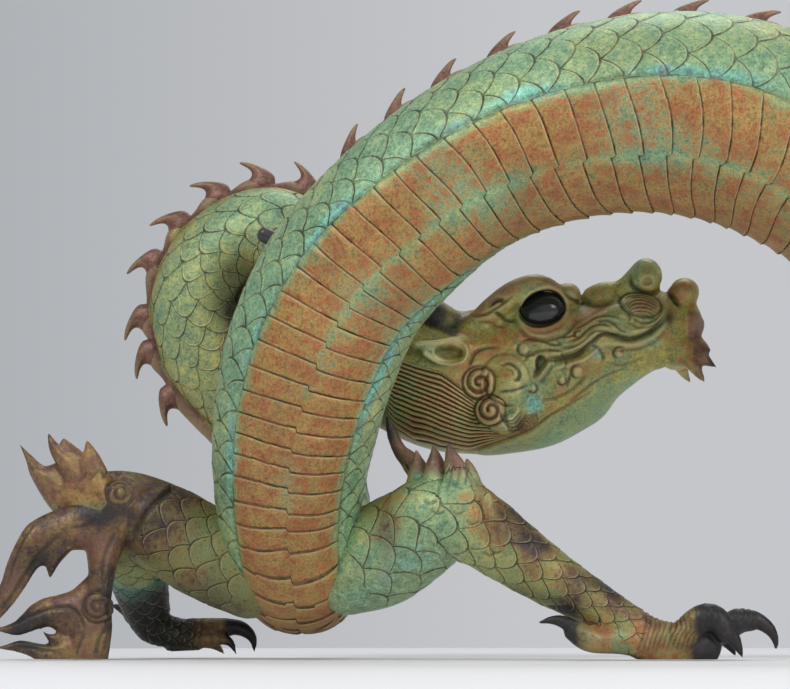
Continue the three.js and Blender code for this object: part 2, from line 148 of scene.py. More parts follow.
class Path:
    """A smooth centre line through stations, with radii and a spine direction all along it."""

    def __init__(self, stations):
        t = np.linspace(0, 1, (len(stations) - 1) * STATION_STEPS + 1)
        self.place = catmull([s[0] for s in stations], t)
        self.radii = catmull([s[1] for s in stations], t)
        self.spine = catmull([s[2] for s in stations], t)
        self.skew = catmull([[s[3]] for s in stations], t)[:, 0]
        gaps = np.linalg.norm(np.diff(self.place, axis=0), axis=1)
        self.run = np.concatenate([[0], np.cumsum(gaps)])
        self.length = self.run[-1]
        along = np.gradient(self.place, self.run, axis=0)
        self.along = along / np.linalg.norm(along, axis=1)[:, None]

    def at(self, distance):
        """Read place, along, spine, side, radii and skew at an array of distances."""
        d = np.clip(np.atleast_1d(distance), 0, self.length)
        read = lambda table: np.stack([np.interp(d, self.run, table[:, i]) for i in range(3)], 1)
        place, radii, spine, along = map(read, (self.place, self.radii, self.spine, self.along))
        along /= np.linalg.norm(along, axis=1)[:, None]
        spine -= (spine * along).sum(1)[:, None] * along
        spine /= np.linalg.norm(spine, axis=1)[:, None]
        return place, along, spine, np.cross(spine, along), radii, np.interp(d, self.run, self.skew)

    def nearest(self, points):
        """Find where points lie along the path, their angle round it and their distance from it."""
        stops = np.linspace(0, self.length, max(3, int(self.length / SEARCH_STEP)))
        place, along, spine, side, radii, _ = self.at(stops)
        best = np.empty(len(points), int)
        for first in range(0, len(points), SEARCH_BLOCK):
            part = points[first:first + SEARCH_BLOCK]
            gap = (part**2).sum(1)[:, None] - 2 * part @ place.T + (place**2).sum(1)[None]
            best[first:first + SEARCH_BLOCK] = gap.argmin(1)
        off = points - place[best]
        ahead = (off * along[best]).sum(1)
        across = (off * side[best]).sum(1)
        up = (off * spine[best]).sum(1)
        away = np.hypot(across, up)
        ahead = np.clip(ahead, -PAST_END, PAST_END)
        return stops[best] + ahead, np.arctan2(across, up), away, radii[best].mean(1)


def station(x, y, z, radius, spine=(0, 0, 1)):
    """Make a station: its place, its radii (side, spine, belly), its spine direction, no skew."""
    radii = list(radius) if isinstance(radius, (list, tuple)) else [radius] * 3
    return [[x, y, z], radii, list(spine), 0.0]


def path_of(rows, spine=(0, 0, 1)):
    """Make a path from rows of x, y, z, radius."""
    return Path([station(*row, spine=spine) for row in rows])


# ---------------------------------------------------------------- meshes


def metres(points):
    """Move layout millimetres into the frame's metres."""
    return (points - LAYOUT_MIDDLE) / 1000


def tube(path, spacing=4.0):
    """Make a closed round tube along a path, as rows of rings from dome to dome."""
    sides = max(10, int(2 * math.pi * path.radii.max() / spacing))
    stops = np.linspace(0, path.length, max(4, int(path.length / spacing)))
    dome = np.radians(np.linspace(0, 90, 7))[:-1]
    where = np.concatenate([np.zeros(6), stops, np.full(6, path.length)])
    grow = np.concatenate([np.sin(dome), np.ones(len(stops)), np.sin(dome[::-1])])
    push = np.concatenate([-np.cos(dome), np.zeros(len(stops)), np.cos(dome[::-1])])
    place, along, spine, side, radii, _ = path.at(where)
    centre = place + along * (push * radii[:, 0] * CAP_DEPTH)[:, None]
    angle = np.linspace(-math.pi, math.pi, sides + 1)
    up = np.where(np.cos(angle) > 0, radii[:, 1:2], radii[:, 2:3])
    return (centre[:, None]
            + side[:, None] * (grow[:, None] * radii[:, :1] * np.sin(angle))[..., None]
            + spine[:, None] * (grow[:, None] * up * np.cos(angle))[..., None])


def ball(x, y, z, rx, ry, rz, tilt=0.0, spacing=3.0):
    """Make an egg shape; tilt turns it about y, in degrees."""
    count = max(10, int(math.pi * max(rx, ry, rz) / spacing))
    polar = np.linspace(0, math.pi, count)[:, None]
    turn = np.linspace(-math.pi, math.pi, 2 * count)[None]
    a = rx * np.sin(polar) * np.cos(turn)
    b = ry * np.sin(polar) * np.sin(turn)
    c = rz * np.cos(polar) * np.ones_like(turn)
    t = math.radians(tilt)
    return np.stack([x + a * math.cos(t) + c * math.sin(t), y + b,
                     z + c * math.cos(t) - a * math.sin(t)], -1)


def blade(left, right, thick, depth, power=0.75):
    """Make a flat thorn or flame between two edges given as (x, z); both edges end at its tip.

    thick is the half thickness at the root, the middle and the tip; depth is y there, too.
    """
    count = max(8, int(np.linalg.norm(np.diff(line(left), axis=0), axis=1).sum() / BLADE_STEP))
    t = np.linspace(0, 1, count)
    a, b = line(left, 0.5), line(right, 0.5)
    spread = lambda curve: np.stack([np.interp(t, np.linspace(0, 1, len(curve)), curve[:, i])
                                     for i in (0, 1)], 1)
    a, b = spread(a), spread(b)
    half = np.interp(t, np.linspace(0, 1, len(thick)), thick)
    y = np.interp(t, np.linspace(0, 1, len(depth)), depth)
    turn = np.linspace(-math.pi, math.pi, BLADE_SIDES + 1)
    wide = np.cos(turn)
    deep = np.sign(np.sin(turn)) * np.abs(np.sin(turn)) ** (1 / power)
    rows = np.empty((count, BLADE_SIDES + 1, 3))
    middle, reach = (a + b) / 2, (b - a) / 2
    rows[..., 0] = middle[:, :1] + reach[:, :1] * wide
    rows[..., 2] = middle[:, 1:] + reach[:, 1:] * wide
    rows[..., 1] = y[:, None] + half[:, None] * deep
    first, last = (np.repeat(end.mean(1, keepdims=True), BLADE_SIDES + 1, 1)
                   for end in (rows[:1], rows[-1:]))
    return np.concatenate([first, rows, last])


def mirrored(patch, middle):
    """Give the same patch on the other side of an upright plane at y = middle."""
    copy = patch[:, ::-1].copy()
    copy[..., 1] = 2 * middle - copy[..., 1]
    return copy


def write_layers(mesh, points=None, corners=None):
    """Store point layers (four numbers) and corner layers (three numbers) as attributes."""
    for name, values in (points or {}).items():
        layer = mesh.attributes.new(name, "FLOAT_COLOR", "POINT")
        layer.data.foreach_set("color", np.ascontiguousarray(values, np.float32).ravel())
    for name, values in (corners or {}).items():
        layer = mesh.attributes.new(name, "FLOAT_VECTOR", "CORNER")
        layer.data.foreach_set("vector", np.ascontiguousarray(values, np.float32).ravel())


def skin(name, patches, points=None, corners=None):
    """Make a mesh of closed grids: each patch is rows of rings, and its ends close on a point."""
    form = bmesh.new()
    for patch in patches:
        bmesh.ops.create_grid(form, x_segments=patch.shape[1] - 1, y_segments=patch.shape[0] - 1)
    mesh = bpy.data.meshes.new(name)
    form.to_mesh(mesh)
    places = np.concatenate([patch.reshape(-1, 3) for patch in patches])
    mesh.vertices.foreach_set("co", metres(places).astype(np.float32).ravel())
    owner = np.empty(len(mesh.loops), np.int32)
    mesh.loops.foreach_get("vertex_index", owner)
    corners = {key: values.reshape(-1, 3)[owner] for key, values in (corners or {}).items()}
    write_layers(mesh, points, corners)
    form.clear()
    form.from_mesh(mesh)
    bmesh.ops.remove_doubles(form, verts=form.verts, dist=2e-6)
    bmesh.ops.dissolve_degenerate(form, edges=form.edges, dist=1e-7)
    bmesh.ops.recalc_face_normals(form, faces=form.faces)
    for face in form.faces:
        face.smooth = True
    form.to_mesh(mesh)
    form.free()
    return mesh


def put(name, mesh, *materials):
    """Put a finished mesh into the scene as a piece of the casting."""
    mesh.name = name
    piece = bpy.data.objects.new(name, mesh)
    bpy.context.scene.collection.objects.link(piece)
    for material in materials:
        mesh.materials.append(material)
    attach(piece, BODY)
    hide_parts(NODE)
    return piece


class Carving:
    """A fused form whose points are pushed about like clay, in layout millimetres."""

    def __init__(self, name, patches, relax=3):
        """Fuse closed patches into one skin of even quads, and smooth it."""
        self.name = name
        block = bpy.data.objects.new(name, skin(name, patches))
        bpy.context.scene.collection.objects.link(block)
        remesh = block.modifiers.new("Fuse", "REMESH")
        remesh.mode = "VOXEL"
        remesh.voxel_size = VOXELS[name] / 1000
        shape = block.evaluated_get(bpy.context.evaluated_depsgraph_get())
        self.mesh = bpy.data.meshes.new_from_object(shape)
        rough = block.data
        bpy.data.objects.remove(block)
        bpy.data.meshes.remove(rough)
        self.read()
        self.relax(relax)

    def read(self):
        """Read places, normals and edges from the mesh."""
        count = len(self.mesh.vertices)
        flat = np.empty(count * 3, np.float32)
        self.mesh.vertices.foreach_get("co", flat)
        self.at = flat.reshape(-1, 3).astype(float) * 1000 + LAYOUT_MIDDLE
        self.edges = np.empty(len(self.mesh.edges) * 2, np.int32)
        self.mesh.edges.foreach_get("vertices", self.edges)
        self.edges = self.edges.reshape(-1, 2)
        self.face()

    def face(self):
        """Refresh the normals from the present places."""
        self.mesh.vertices.foreach_set("co", metres(self.at).astype(np.float32).ravel())
        self.mesh.update()
        flat = np.empty(len(self.at) * 3, np.float32)
        self.mesh.vertex_normals.foreach_get("vector", flat)
        self.normal = flat.reshape(-1, 3).astype(float)

    def relax(self, rounds, strength=0.6):
        """Move every point towards the middle of its neighbours."""
        a, b = self.edges.T
        count = np.bincount(np.concatenate([a, b]), minlength=len(self.at))
        for _ in range(rounds):
            mean = np.stack([(np.bincount(a, self.at[b, i], len(self.at))
                              + np.bincount(b, self.at[a, i], len(self.at))) / count
                             for i in range(3)], 1)
            self.at += (mean - self.at) * strength
        self.face()

    def refine(self, where):
        """Split every face whose points all lie in the region into four."""
        form = bmesh.new()
        self.face()
        form.from_mesh(self.mesh)
        form.verts.ensure_lookup_table()
        chosen = where(self.at, self.normal)
        edges = {edge for face in form.faces
                 if all(chosen[v.index] for v in face.verts) for edge in face.edges}
        bmesh.ops.subdivide_edges(form, edges=list(edges), cuts=1, use_grid_fill=True)
        form.to_mesh(self.mesh)
        form.free()
        self.read()

    def start_paint(self):
        """Give every point an empty patina and carving layer."""
        self.patina = np.zeros((len(self.at), 4))      # brown, turquoise, black (also painted shade), olive
        self.carving = np.zeros((len(self.at), 4))     # hollow (waxing, painted shade), pale edge (rubbing, painted highlight), strand, umber
        self.carving[:, 2] = 0.5
        self.rise = np.zeros(len(self.at))

    def near(self, knots):
        """Measure from each point to a curve, by x and z alone; also where along it."""
        knots = np.asarray(knots, float)
        mine = self.at[:, [0, 2]]
        low, high = knots.min(0) - 30, knots.max(0) + 30
        inside = np.all((mine > low) & (mine < high), axis=1)
        distance = np.full(len(mine), 99.0)
        where = np.zeros(len(mine), int)
        part = mine[inside]
        if len(part):
            gap = ((part[:, None] - knots[None]) ** 2).sum(2)
            distance[inside] = np.sqrt(gap.min(1))
            where[inside] = gap.argmin(1)
        return distance, where / max(1, len(knots) - 1)

    def cut(self, knots, width, depth, mask=1.0, dark=0.9, taper=True):
        """Carve a groove along a flat curve."""
        away, t = self.near(line(knots, 0.7))
        fade = np.minimum(1, 5 * np.minimum(t, 1 - t) + 0.25) if taper else 1.0
        amount = bell(away, width) * fade * mask
        self.rise -= depth * amount
        self.mark(0, dark * amount)

    def raise_line(self, knots, width, height, mask=1.0, worn_and_lit=0.5, taper=True):
        """Raise a rounded ridge along a flat curve."""
        away, t = self.near(line(knots, 0.7))
        fade = np.minimum(1, 5 * np.minimum(t, 1 - t) + 0.2) if taper else 1.0
        amount = bell(away, width) * fade * mask
        self.rise += height * amount
        self.mark(1, worn_and_lit * amount)

    def dome(self, x, z, rx, rz, height, mask=1.0, tilt=0.0, edge=0.0):
        """Raise a round boss, with a groove round its foot where edge is given."""
        t = math.radians(tilt)
        dx, dz = self.at[:, 0] - x, self.at[:, 2] - z
        a = (dx * math.cos(t) + dz * math.sin(t)) / rx
        b = (dz * math.cos(t) - dx * math.sin(t)) / rz
        r = np.hypot(a, b)
        self.rise += height * np.sqrt(np.clip(1 - r * r, 0, 1)) * mask
        if edge:
            rim = bell((r - 1.05) * min(rx, rz), 1.1) * mask
            self.rise -= edge * rim
            self.mark(0, 0.9 * rim)

    def press(self):
        """Apply the gathered rise along the normals, and refresh them."""
        self.at += self.normal * self.rise[:, None]
        self.rise[:] = 0
        self.face()

    def weather_shade_and_highlight(self, rounds, wax_and_shade, rub_and_highlight, mask=1.0):
        """Paint hollows dark (waxing and painted shade) and what stands out pale (rubbing and painted
        highlight).
        """
        kept, normal = self.at.copy(), self.normal.copy()
        self.relax(rounds, strength=0.7)
        gap = ((self.at - kept) * normal).sum(1)
        self.at = kept
        self.face()
        self.mark(0, wax_and_shade * ramp(gap, 0.1, 1.1) * mask)
        self.mark(1, rub_and_highlight * ramp(-gap, 0.08, 0.9) * mask)

    def mark(self, channel, amount):
        """Deepen a carving layer: 0 hollow, waxing and painted shade; 1 pale edge, rubbing and painted
        highlight; 2 strand; 3 umber.
        """
        self.carving[:, channel] = np.maximum(self.carving[:, channel], amount)

    def tint(self, channel, amount):
        """Blend a colour of the patina in: 0 brown, 1 turquoise, 2 black, also for painted shade, 3 olive.
        """
        self.patina[:, channel] = np.clip(np.maximum(self.patina[:, channel], amount), 0, 1)

    def corner_scales(self, u, v, pitch, columns):
        """Spread the scale lattice to face corners, joined up across its seam."""
        owner = np.empty(len(self.mesh.loops), np.int32)
        self.mesh.loops.foreach_get("vertex_index", owner)
        start = np.empty(len(self.mesh.polygons), np.int32)
        total = np.empty(len(self.mesh.polygons), np.int32)
        self.mesh.polygons.foreach_get("loop_start", start)
        self.mesh.polygons.foreach_get("loop_total", total)
        first = np.repeat(u[owner[start]], total)
        mine = u[owner]
        mine = mine + columns * np.round((first - mine) / columns)
        return np.stack([mine, v[owner], pitch[owner]], 1)

    def finish(self, *materials, scales=None):
        """Write the places and layers into the mesh and put it into the scene."""
        self.face()
        self.carving[:, 1] *= 1 - np.clip(1.5 * self.patina[:, 2], 0, 1)
        corners = {} if scales is None else {"scales": scales}
        write_layers(self.mesh, {"patina": self.patina, "carving": self.carving}, corners)
        for polygon in self.mesh.polygons:
            polygon.use_smooth = True
        return put(self.name, self.mesh, *materials)


# ---------------------------------------------------------------- scales and plates

SCALE_CURVE = 2.1       # how pointed a scale's outline is: 2 is round


def scale_fields(u, v):
    """Measure a scale lattice: u counts columns, v counts rows, and scales point along v.

    Gives, in rows: the reach beyond the edge above, the reach before the own edge, and how far
    across its scale a point lies, 0 at the middle and 1 at the side.
    """
    row = np.floor(v)
    w = v - row
    phase = np.mod(u + 0.5 * np.mod(row, 2), 1.0)
    across = np.abs(2 * phase - 1)
    own = w - 1 + across**SCALE_CURVE
    other = (1 - across) ** SCALE_CURVE
    beyond = np.where(own > 0, own, w + other)
    before = np.where(own < 0, -own, 2 - w - other)
    return beyond, before, np.where(own < 0, across, 1 - across)


def scale_relief(u, v, pitch, height):
    """Give the height of overlapping scales: each rises to its tip and drops to the next."""
    beyond, before, across = scale_fields(u, v)
    rise = 1 - np.clip(before / 1.7, 0, 1)
    pillow = 1 - 0.4 * across**2
    return height * (rise * pillow - 0.35) - 0.35 * height * bell(beyond * pitch, 1.4)


def running_count(distance, pitch):
    """Count pitches along a line, where the pitch changes along it."""
    steps = np.diff(distance) / ((pitch[1:] + pitch[:-1]) / 2)
    return np.concatenate([[0], np.cumsum(steps)])


# ---------------------------------------------------------------- the trunk's path

NECK = [
    station(473, 112, 293, 64, (0.2, 0, 1)),
    station(429, 117, 300, 65, (0.5, 0, 0.86)),
    station(377, 127, 334, 62, (0.65, 0, 0.75)),
    station(326, 140, 396, 59, (0.6, 0, 0.8)),
    station(267, 150, 437, 57, (0.1, 0, 1)),
    station(217, 155, 420, 55, (-0.65, 0, 0.76)),
    station(193, 157, 374, 56, (-1, 0, 0.1)),
    station(207, 156, 318, 58, (-1, -0.1, -0.2)),
    station(250, 152, 270, 61, (-0.8, -0.3, -0.6)),
    station(290, 145, 214, 64, (-0.5, -0.8, -0.4)),
    station(303, 131, 148, 67, (-0.1, -0.9, 0.35)),
    station(304, 100, 104, 68, (0, -0.6, 0.8)),
    station(299, 52, 92, 66, (0, 0, 1)),
    station(294, 8, 112, 67, (0, 0.75, 0.66)),
    station(290, -16, 160, 73, (0, 0.95, 0.32)),
]

# x, y, z, radius, then how far the spine and the belly have turned outwards and inwards, in degrees
ARCH = [
    (295, -32, 219, 80, 12, 2), (311, -48, 290, 85, 34, 7), (343, -60, 362, 85, 57, 14),
    (393, -70, 420, 85, 64, 20), (457, -80, 472, 85, 66, 26), (529, -86, 507, 89, 68, 30),
    (605, -90, 527, 94, 70, 33), (683, -90, 530, 99, 71, 35), (763, -84, 512, 101, 73, 38),
    (845, -72, 465, 98, 76, 44), (918, -57, 390, 94, 80, 54), (970, -40, 303, 89, 85, 66),
    (1012, -25, 215, 83, 90, 78), (1064, -12, 147, 76, 90, 88),
]
TAIL = [
    (1147, 5, 108, 64, 90, 90), (1243, 25, 108, 50, 90, 90), (1330, 38, 160, 40, 90, 90),
    (1376, 30, 240, 30, 90, 90), (1372, 10, 325, 22, 90, 90), (1322, 0, 385, 14, 90, 90),
]


def trunk_path():
    """Join neck, arch and tail into one path, with the spine turning round the arch."""
    stations = list(NECK)
    rows = ARCH + TAIL
    places = [s[0] for s in NECK] + [list(row[:3]) for row in rows]
    for i, row in enumerate(rows, len(NECK)):
        ahead = np.subtract(places[min(i + 1, len(places) - 1)], places[i - 1])
        inward = np.array([ahead[2], 0, -ahead[0]]) / math.hypot(ahead[0], ahead[2])
        turn = math.radians(row[4])
        spine = np.array([0, math.cos(turn), 0]) - math.sin(turn) * inward
        stations.append([places[i], [row[3]] * 3, spine.tolist(), row[4] - row[5]])
    return Path(stations)


TRUNK = trunk_path()
THROAT, CHEST, RIDGE_RESTARTS = (TRUNK.run[STATION_STEPS * i] for i in (10, 12, 15))


def crest_stops(start, stop, pitch):
    """Place hooks a pitch apart along the crest."""
    d = np.arange(start, stop, 2.0)
    place, _, spine, _, radii, _ = TRUNK.at(d)
    crest = place + spine * radii[:, 1:2]
    run = np.concatenate([[0], np.cumsum(np.linalg.norm(np.diff(crest, axis=0), axis=1))])
    return d[np.searchsorted(run, np.arange(0, run[-1], pitch))]


NECK_HOOKS = crest_stops(133, THROAT - 160, 49)
BACK_HOOKS = crest_stops(953, TRUNK.length - 160, 60)
# the hooks were set by hand, so their spacing wanders
NECK_HOOKS[3:] += (3, 0, 0, 0, -3, 2, -6, -4)
BACK_HOOKS[4:14] += (5, 1, -2, -2, 1, 1, 2, 8, 12, 6)


def ridge_height(d):
    """Give the crest's height: full on neck and arch, fading in the bend between them."""
    neck = ramp(d, 0, 120) * (1 - ramp(d, THROAT - 160, THROAT))
    back = ramp(d, CHEST + 60, RIDGE_RESTARTS) * (1 - ramp(d, TRUNK.length - 300, TRUNK.length))
    return CREST_HEIGHT * np.maximum(neck, back)


def hook_count(d):
    """Count hooks along the crest, so that the lumps between them fall in step."""
    neck = np.interp(d, NECK_HOOKS, np.arange(len(NECK_HOOKS)))
    back = np.interp(d, BACK_HOOKS, np.arange(len(BACK_HOOKS)))
    return np.where(d < THROAT, neck, back)


PLATE_STEPS = np.arange(0, TRUNK.length + 1, 2.0)
PLATE_PITCH = 15.5 + 13.5 * ramp(PLATE_STEPS, CHEST - 100, 1400)
PLATE_PITCH = PLATE_PITCH * (1 - 0.55 * ramp(PLATE_STEPS, 1850, TRUNK.length))
PLATE_COUNT = running_count(PLATE_STEPS, PLATE_PITCH)
SCALE_PITCH = 15.0 - 1.5 * ramp(PLATE_STEPS, 450, 760) + 4.0 * ramp(PLATE_STEPS, 900, 1400)
SCALE_PITCH = SCALE_PITCH * (1 - 0.6 * ramp(PLATE_STEPS, 1850, TRUNK.length))
SCALE_COUNT = running_count(PLATE_STEPS, SCALE_PITCH)


# each piece of the trunk: first and last distance along it, how coarse its rows are, and its
# columns over near belly, near flank, crest, far flank and far belly
STRETCHES = (
    ("neck", 0, 705, 1.1, (18, 46, 10, 46, 18)),
    ("arch_rise", 705, 1290, 1.0, (32, 58, 12, 56, 32)),
    ("arch_crown", 1290, 1700, 1.0, (34, 66, 14, 60, 34)),
    ("hips", 1700, 2200, 1.6, (20, 34, 8, 44, 20)),
    ("tail", 2200, TRUNK.length, 1.5, (12, 22, 6, 22, 12)),
)


def trunk_skin(sizes, start, stop, step, columns):
    """Carve one stretch of the trunk: belly plates, crest, and scales on both flanks."""
    d = np.linspace(start, stop, int((stop - start) / step) + 1)
    place, _, spine, side, radii, skew = TRUNK.at(d)
    near, far = 180 - skew, 180 + skew
    plated = BELLY_ANGLE + 22 * ramp(d, 1000, 1350)
    corners = [-near, BELLY_ANGLE - near, -CREST_ANGLE + 0 * near, CREST_ANGLE + 0 * near,
               far - plated, far]
    strips = [a[:, None] + (b - a)[:, None] * np.linspace(0, 1, n + 1)[None, :-1]
              for a, b, n in zip(corners, corners[1:], columns)]
    alpha = np.concatenate(strips + [far[:, None]], 1)
    near, far, plated, d = near[:, None], far[:, None], plated[:, None], d[:, None]
    radius = radii[:, :1]
    arc = radius * math.pi / 180
    on_near = alpha < 0

    across = np.where(on_near, -(alpha + near) / BELLY_ANGLE, (far - alpha) / plated)
    border = np.where(on_near, alpha + near - BELLY_ANGLE, far - plated - alpha) * arc
    crest = (np.abs(alpha) - CREST_ANGLE) * arc
    on_belly, on_crest = border < 0, crest < 0
    flank = ~on_belly & ~on_crest

    angle = np.radians(alpha)
    shell = np.where(np.cos(angle) > 0, radii[:, 1:2], radii[:, 2:3])

    def surface(extra):
        return (place[:, None] + side[:, None] * (np.sin(angle) * (radius + extra))[..., None]
                + spine[:, None] * (np.cos(angle) * (shell + extra))[..., None])

    smooth = surface(0 * alpha)
    wobble = drift(smooth, 34, 3)

    # belly plates: an edge leans towards the tail on the far side, and breaks at the middle
    pitch = np.interp(d, PLATE_STEPS, PLATE_PITCH) + 0 * alpha
    lean = 12 * ramp(d, 1000, 1400) * (1 - 0.7 * ramp(d, 1900, 2200))
    count = np.interp(d, PLATE_STEPS, PLATE_COUNT) - lean * (across + 0.8 * np.maximum(across, 0)) / pitch
    bow = np.sin(3.1 * across + 1.2 * drift(smooth, 90, 9))
    count = count + 0.2 * (across > 0) + 0.09 * wobble - 0.1 * np.abs(across) ** 2 + 0.06 * bow
    part = np.mod(count, 1.0)
    lip = sizes.plate_lip * 1000
    plate = lip * part**2 - 0.6 * lip * bell(part * pitch, 1.6)
    plate = plate + 0.9 * bell(np.abs(across) - 0.5, 0.4) - 0.8 * bell(across, 0.05)
    belly_relief = plate * ramp(-border, 0, 5) * ramp(d, 60, 200)

    # scales
    span_near = (near - BELLY_ANGLE - CREST_ANGLE) * arc
    span_far = (far - plated - CREST_ANGLE) * arc
    wide_near = np.where(d < CHEST - 30, 4.0, 3.0)
    wide_far = np.where(d < CHEST - 30, 4.0, 5.5)
    u = np.where(on_near, wide_near / span_near, wide_far / span_far) * border
    u = u + 0.05 * drift(smooth, 45, 5)
    rows = np.interp(d, PLATE_STEPS, SCALE_PITCH) + 0 * alpha
    v = np.interp(d, PLATE_STEPS, SCALE_COUNT) + 0 * alpha + 0.09 * drift(smooth, 55, 7)
    strength = ramp(border, -1, 3) * ramp(crest, -1, 4)
    scales = scale_relief(u, v, rows, sizes.scale_relief * 1000) * strength

    # crest: a rounded ridge with a low lump between every two hooks
    lump = np.sin(math.pi * np.mod(hook_count(d) + 0.35, 1.0)) ** 2
    fall = np.clip(1 - (alpha / CREST_ANGLE) ** 2, 0, 1) ** 0.6
    stout = 1 + 0.45 * ramp(d, CHEST, RIDGE_RESTARTS + 60)
    ridge = ridge_height(d) * fall * (0.5 + 0.7 * lump) * stout
    groove = -1.3 * bell(border - 1, 2.6) - 0.7 * bell(crest - 1.5, 2.0) * (ridge_height(d) > 2)
    extra = belly_relief * on_belly + scales * flank + ridge * on_crest + groove
    points = surface(extra)

    # patina
    ragged = border + 3.2 * drift(smooth, 22, 11) + 1.5 * drift(smooth, 9, 12)
    inside = ramp(-ragged, -2, 13)
    low = 1 - ramp(d, 860, 1080)
    halves = bell(np.abs(across) - 0.55, 0.4)
    midline = bell(across + 0.03 * wobble, 0.07)
    patches = drift(smooth, 60, 13)
    brown = inside * np.clip(0.62 + 0.28 * halves + 0.25 * low + 0.2 * patches
                             - 0.3 * midline * (1 - 0.8 * low), 0, 1)
    neck = 1 - ramp(d, THROAT - 40, CHEST)
    band = bell(border - 5 - 4 * wobble, 10) * (0.5 + 0.45 * drift(smooth, 48, 17))
    turquoise = np.clip(band * (0.25 + 0.75 * ramp(d, 760, 900)), 0, 1) * (~on_crest)
    olive = np.clip(0.2 + 0.3 * drift(smooth, 95, 19) + 0.45 * bell(crest - 4, 14)
                    + 0.3 * neck + 0.15 * ramp(d, 1500, 1900), 0, 0.95)
    olive = np.where(border < 2, np.clip(0.55 + 0.3 * patches, 0, 1), olive)
    # painted shade: the neck is painted dark, browner and more olive where it folds in behind the arch and
    # lies in its shade
    painted_fold_shade = bell(np.hypot((smooth[..., 0] - 238) / 34, (smooth[..., 2] - 358) / 62), 1.0) * neck
    painted_fold_shade = np.clip(1.2 * painted_fold_shade + 0.25 * painted_fold_shade * drift(smooth, 20, 25), 0, 1)
    near_crest = bell(np.minimum(crest, 90) - 4, 22) * neck
    brown = np.maximum(brown, np.clip((0.35 + 0.3 * wobble) * near_crest + 0.35 * painted_fold_shade, 0, 0.6) * flank)
    olive = np.clip(olive + 0.4 * painted_fold_shade, 0, 1)
    umber = (1 - ramp(crest + 2.0 * drift(smooth, 14, 23), -2, 2.5)) * ramp(ridge_height(d), 0.5, 4)
    hollow = 0.75 * bell(border - 1, 1.5) * (0.5 + 0.5 * ramp(wobble, -0.6, 0.6))
    hollow = np.maximum(hollow, 0.55 * bell(crest - 1, 2.0) * (ridge_height(d) > 2))
    worn_and_lit = 0.5 * on_crest * lump * fall
    fade = 0.85 * (1 - ramp(crest, 14, 52)) * ramp(d, 900, 1100) * flank * ramp(wobble, -0.9, 0.2)
    zero = 0 * alpha
    # the black channel also carries the painted shade where the neck folds in behind the arch
    points_layers = {
        "patina": np.stack([brown, turquoise, 0.75 * painted_fold_shade + zero, olive], -1),
        "carving": np.stack([hollow + zero, worn_and_lit + zero, zero + 0.5, umber], -1),
    }
    corner_layers = {
        "scales": np.stack([u, v, rows * (strength > 0.35)], -1),
        "plates": np.stack([count + zero, pitch * (border < -1.5) * (d > 60), fade + zero], -1),
    }
    return points, points_layers, corner_layers


def cap_ends(grid):
    """Close a stretch with one row at the middle of each end ring."""
    first = np.repeat(grid[:1, :-1].mean(1, keepdims=True), grid.shape[1], 1)
    last = np.repeat(grid[-1:, :-1].mean(1, keepdims=True), grid.shape[1], 1)
    return first, last


def trunk_piece(name, material, sizes, start, stop, step, columns):
    """Build one stretch of the trunk as a closed piece."""
    points, point_layers, corner_layers = trunk_skin(sizes, start, stop, step, columns)
    first, last = cap_ends(points)
    points = np.concatenate([first, points, last])
    widen = lambda table: np.concatenate([table[:1], table, table[-1:]])
    point_layers = {key: widen(table).reshape(-1, 4) for key, table in point_layers.items()}
    corner_layers = {key: widen(table) for key, table in corner_layers.items()}
    mesh = skin(name, [points], point_layers, corner_layers)
    mesh.set_sharp_from_angle(angle=math.radians(75))
    return put(name, mesh, material)


HOOK_HEIGHT = 24.0


def hook_grid(distance, size, blunt):
    """Shape one hook: a convex front edge, a blunt tip that leans to the tail, a hollow back."""
    place, along, spine, side, radii, _ = (a[0] for a in TRUNK.at(distance))
    rise = radii[1] + ridge_height(np.array([distance]))[0]
    top = np.sin(np.radians(np.linspace(0, 90, 6)))
    b = np.concatenate([np.linspace(-10, 0, 4)[:-1], np.linspace(0, HOOK_HEIGHT - blunt, 12)[:-1],
                        HOOK_HEIGHT - blunt + blunt * top])
    t = np.clip(b / HOOK_HEIGHT, 0, 1)
    cap = np.sqrt(np.clip(1 - np.clip((b - HOOK_HEIGHT + blunt) / blunt, 0, 1) ** 2, 0, 1))
    front = -21 + 33 * t**1.7
    back = 14 - 9 * np.sin(math.pi * t**0.8) + 3 * t + 1.9 * blunt * t**3
    half = (6.6 * (1 - t**1.3) + 0.55 * blunt) * np.where(b < 0, 1.15, 1.0) * cap
    turn = np.linspace(-math.pi, math.pi, 17)
    middle, reach = ((front + back) / 2)[:, None], ((back - front) / 2 * cap)[:, None]
    ahead = (middle + reach * np.cos(turn)) * size
    out = half[:, None] * np.sign(np.sin(turn)) * np.abs(np.sin(turn)) ** 1.15 * size
    grid = (place + along * ahead[..., None] + side * out[..., None]
            + spine * (rise + b[:, None, None] * size))
    first, last = cap_ends(grid)
    return np.concatenate([first, grid, last]), np.concatenate([t[:1], t, t[-1:]])


def hook_sizes():
    """List every hook's distance along the trunk, size and bluntness; they shrink along the tail."""
    back = [(d, float(np.clip((TRUNK.length - d) / 500, 0.45, 1)), 2.2) for d in BACK_HOOKS]
    back[2:4] = [(d, 0.5, blunt) for d, _, blunt in back[2:4]]
    return [(d, 0.88, 4.2) for d in NECK_HOOKS] + back


# ---------------------------------------------------------------- limbs


